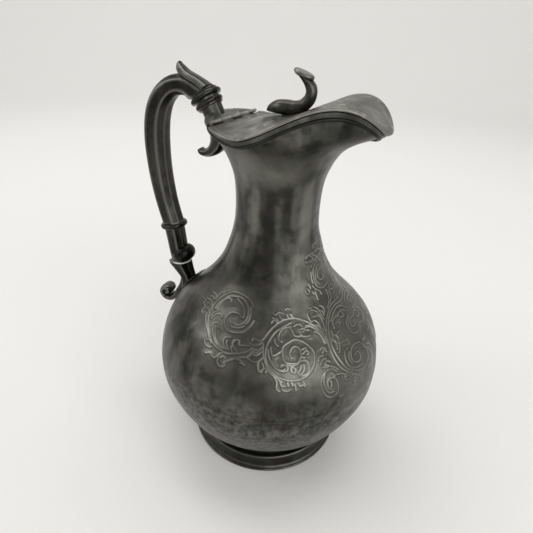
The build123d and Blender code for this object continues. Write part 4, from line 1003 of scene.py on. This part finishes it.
leafRest = {
    "section": [
        (-1.0, 0.0), (-0.95, 0.35), (-0.72, 0.7), (-0.25, 0.95), (0.05, 1.0), (0.27, 0.99), (0.38, 0.91),
        (0.3, 0.82), (0.42, 0.76), (0.56, 0.58), (0.62, 0.3), (0.64, 0.0)],
    "line": [  # x, z, turn in degrees, half thickness, half width
        (-61.9, 237.4, 38, 0.2, 0.5), (-62.1, 236.8, 38, 0.9, 1.8), (-61.9, 235.5, 38, 1.8, 3.0),
        (-60.7, 233.8, 44, 2.6, 4.1), (-58.2, 231.8, 56, 2.9, 4.9), (-54.0, 230.0, 64, 3.0, 5.3),
        (-49.5, 228.0, 66, 3.2, 5.3), (-44.8, 225.6, 60, 3.2, 5.9)],
}
collars = {  # degrees, then x and z of each ring and its radii and heights in mm
    "tilt": 34.0, "upper": (-45.9, 220.9), "lower": (-43.8, 217.75),
    "upperProfile": [
        (5.0, 2.9), (7.0, 2.9), (7.5, 2.6), (7.6, 2.2), (7.3, 1.8), (7.9, 1.6), (8.6, 1.25), (9.0, 0.6),
        (9.1, 0.0), (8.95, -0.6), (8.5, -1.1), (7.9, -1.35), (5.0, -1.35)],
    "lowerProfile": [
        (4.6, 1.35), (7.0, 1.35), (7.7, 1.1), (8.1, 0.5), (8.1, -0.2), (7.8, -0.8), (7.15, -1.15),
        (7.3, -1.45), (7.2, -1.85), (6.8, -2.15), (4.6, -2.15)],
}


def makeCasting(name, stands, crisp, *lengths):  # each length is (section, line, steps); crisp in degrees
    bm = bmesh.new()
    for section, line, steps in lengths:
        sweep(bm, section, smoothStations(line, steps))
    markEdges(bm)
    return finish(bm, name, "jug", handleMetal, stands, math.radians(crisp))


def roundedCopy(node, voxel, rounds):  # the solid's own shape with the soft edges of a casting, in mm
    bm = bmesh.new()
    bm.from_mesh(nodes[node].data)
    bmesh.ops.scale(bm, vec=(1000, 1000, 1000), verts=bm.verts)
    bmesh.ops.remove_doubles(bm, verts=bm.verts, dist=0.005)
    mesh = bpy.data.meshes.new("rough")
    bm.to_mesh(mesh)
    bm.free()
    rough = bpy.data.objects.new("rough", mesh)
    bpy.context.scene.collection.objects.link(rough)
    remesh = rough.modifiers.new("remesh", "REMESH")
    remesh.mode = "VOXEL"
    remesh.voxel_size = voxel
    soften = rough.modifiers.new("soften", "SMOOTH")
    soften.factor = 0.5
    soften.iterations = rounds
    result = bpy.data.meshes.new_from_object(rough.evaluated_get(bpy.context.evaluated_depsgraph_get()))
    bm = bmesh.new()
    bm.from_mesh(result)
    bpy.data.objects.remove(rough)
    bpy.data.meshes.remove(mesh)
    bpy.data.meshes.remove(result)
    return bm


def makeLeafRest():  # a smooth panel with a rib along each edge, its tip lifted off the grip
    half = leafRest["section"]
    bm = bmesh.new()
    sweep(bm, half + [(u, -v) for u, v in reversed(half[1:-1])], smoothStations(leafRest["line"], 60))
    markEdges(bm, 0.1, 0.4)
    return finish(bm, "thumb_leaf", "jug", handleMetal, ["thumb_rest"])


def makeCollar(name, place, profile, stands):
    bm = bmesh.new()
    turn(bm, profile, 96, closed=True)
    tilt = Matrix.Rotation(-math.radians(collars["tilt"]), 4, "Y")
    bmesh.ops.transform(bm, matrix=Matrix.Translation((place[0], 0, place[1])) @ tilt, verts=bm.verts)
    markEdges(bm, 0.5, 1.2)
    return finish(bm, name, "jug", handleMetal, stands)


leafTip = {"thin": 0.5, "grow": 2.2, "high": 111.0, "run": 14.0}  # mm


def makeShoulderLeaf():
    bm = roundedCopy("shoulder_leaf", 0.3, 16)
    for vert in bm.verts:  # the leaf hugs the wall, and thins out towards its tip
        proud = math.hypot(vert.co.x, vert.co.y) - bodyRadius(vert.co.z)
        below = (leafTip["high"] - vert.co.z) / leafTip["run"]
        most = leafTip["thin"] + leafTip["grow"] * min(max(below, 0), 1)
        if proud > most:
            vert.co -= Vector((vert.co.x, vert.co.y, 0)).normalized() * (proud - most)
    return finish(bm, "shoulder_leaf_casting", "jug", leafMetal, ["shoulder_leaf"], math.pi,
                  False)


channelled = gripSection()
makeCasting("grip_casting", ["handle_grip"], 24, (channelled, sized(handle["grip"]), 72))
makeCasting("ferrule_casting", ["lower_ferrule"], 24, (channelled, sized(handle["ferrule"]), 16))
makeCasting("upper_mount_casting", ["upper_mount"], 24, (channelled, upperMount, 54))
makeCasting("lower_mount_casting", ["lower_mount"], 30, (channelled, lowerMount["body"], 24),
            (oval(28, 0.72), lowerMount["arm"], 90))
makeLeafRest()
makeShoulderLeaf()
makeCollar("grip_collar_ring", collars["upper"], collars["upperProfile"], ["grip_collar"])
makeCollar("mount_collar_ring", collars["lower"], collars["lowerProfile"], ["mount_collar"])
print("handle made")


# finial: an S-scroll on a bean-shaped foot, spreading into its button

finial = {
    "foot": (0.0, 217.12),  # x and z in mm
    "line": [  # x and z from the foot, direction in degrees, half thickness in the middle plane and across
        (-9.3, 0.9, 25, 0.25, 0.3), (-8.6, 1.3, 25, 1.0, 1.7), (-6.6, 2.2, 25, 2.3, 3.4),
        (-3.2, 3.2, 8, 3.4, 4.6), (1.4, 3.4, 0, 3.7, 5.0), (6.0, 3.5, 6, 3.5, 4.6), (10.0, 4.9, 30, 3.2, 4.0),
        (13.2, 8.2, 62, 3.0, 3.5), (14.0, 11.6, 92, 2.8, 3.2), (13.3, 14.2, 92, 2.9, 3.3),
        (11.7, 16.4, 80, 3.5, 3.6), (9.9, 18.1, 70, 4.6, 3.9)],
}


def makeFinial():
    bm = bmesh.new()
    x, z = finial["foot"]
    line = [(x + dx, z + dz, way + 90, thick, across) for dx, dz, way, thick, across in finial["line"]]
    sweep(bm, oval(32), smoothStations(line, 60))
    return finish(bm, "finial_casting", "lid", finialMetal, ["finial"])


makeFinial()
print("finial made")


# plain CAD pieces keep their shape and take a finish

finishes = {
    "foot_wire": wireMetal, "finial_button": buttonMetal, "bead_ring": handleMetal, "knuckle": handleMetal,
    "hinge_pin": hingeMetal, "finial_stud": hingeMetal, "finial_nut": hingeMetal,
    "insulator_pins": hingeMetal, "upper_insulator": darkIvory, "lower_insulator": ivory,
}
for node, material in finishes.items():
    mesh = nodes[node].data
    mesh.materials.clear()
    mesh.materials.append(material)
print("finishes given")


# floor, light and camera

backdrop = {"flat": 1.5, "radius": 1.0, "height": 2.8, "steps": 12, "colour": "f0efed"}  # metres


def makeBackdrop():  # a round floor that sweeps up on every side
    bm = bmesh.new()
    d = backdrop
    points = [(0, 0), (d["flat"], 0)]
    for i in range(1, d["steps"] + 1):
        a = math.pi / 2 * i / d["steps"]
        points.append((d["flat"] + d["radius"] * math.sin(a), d["radius"] * (1 - math.cos(a))))
    turn(bm, points + [(d["flat"] + d["radius"], d["height"])], 96)
    bmesh.ops.remove_doubles(bm, verts=bm.verts, dist=0.0005)
    bmesh.ops.recalc_face_normals(bm, faces=bm.faces)
    mesh = bpy.data.meshes.new("backdrop")
    bm.to_mesh(mesh)
    bm.free()
    for face in mesh.polygons:
        face.use_smooth = True
    floor = bpy.data.objects.new("backdrop", mesh)
    bpy.context.scene.collection.objects.link(floor)
    material, _, shader = newMaterial("pale_backdrop")
    shader.inputs["Base Color"].default_value = hexToLinear(d["colour"])
    shader.inputs["Roughness"].default_value = 0.95
    shader.inputs["Specular IOR Level"].default_value = 0.1
    mesh.materials.append(material)


studio = {"colour": "e9e7e3", "strength": 0.42}
lamps = {  # metres and watts: place, what it points at, size, power
    "key": ((1.10, -0.72, 0.60), (0, 0, 0.1), (1.4, 1.0), 11.0),
    "side": ((-0.9, -0.5, 0.9), (0, 0, 0.12), (0.7, 0.7), 3.0),
    "back": ((-0.35, 0.45, 1.7), (-0.4, 1.3, 0.3), (1.8, 1.2), 17.5),
}


def makeWorld():
    world = bpy.data.worlds.new("studio")
    world.use_nodes = True
    light = world.node_tree.nodes["Background"]
    light.inputs["Color"].default_value = hexToLinear(studio["colour"])
    light.inputs["Strength"].default_value = studio["strength"]
    bpy.context.scene.world = world


def addLamp(name, place, target, size, power):
    data = bpy.data.lights.new(name, "AREA")
    data.shape = "RECTANGLE"
    data.size, data.size_y = size
    data.energy = power
    lamp = bpy.data.objects.new(name, data)
    lamp.location = place
    lamp.rotation_euler = (Vector(target) - Vector(place)).to_track_quat("-Z", "Y").to_euler()
    bpy.context.scene.collection.objects.link(lamp)


view = {
    "place": (82.4, -204.0, 253.8),  # mm
    "right": (0.9077, 0.4171, 0.0452), "down": (0.2443, -0.4380, -0.8651),
    "ahead": (-0.3411, 0.7964, -0.4995),
    "focal": 410.0, "frame": 533.0,  # in the same unit
    "sensor": 36.0,  # mm
}


def makeCamera():
    data = bpy.data.cameras.new("camera")
    data.sensor_width = view["sensor"]
    data.sensor_fit = "HORIZONTAL"
    data.lens = view["sensor"] * view["focal"] / view["frame"]
    data.clip_start = 0.01
    camera = bpy.data.objects.new("camera", data)
    right, up, back = Vector(view["right"]), -Vector(view["down"]), -Vector(view["ahead"])
    turnMatrix = Matrix((right, up, back)).transposed().to_4x4()
    camera.matrix_world = Matrix.Translation(Vector(view["place"]) * mm) @ turnMatrix
    bpy.context.scene.collection.objects.link(camera)
    bpy.context.scene.camera = camera


makeCamera()
makeBackdrop()
makeWorld()
for name, (place, target, size, power) in lamps.items():
    addLamp(name, place, target, size, power)
bpy.context.scene.view_settings.view_transform = "Standard"
print("stage made")
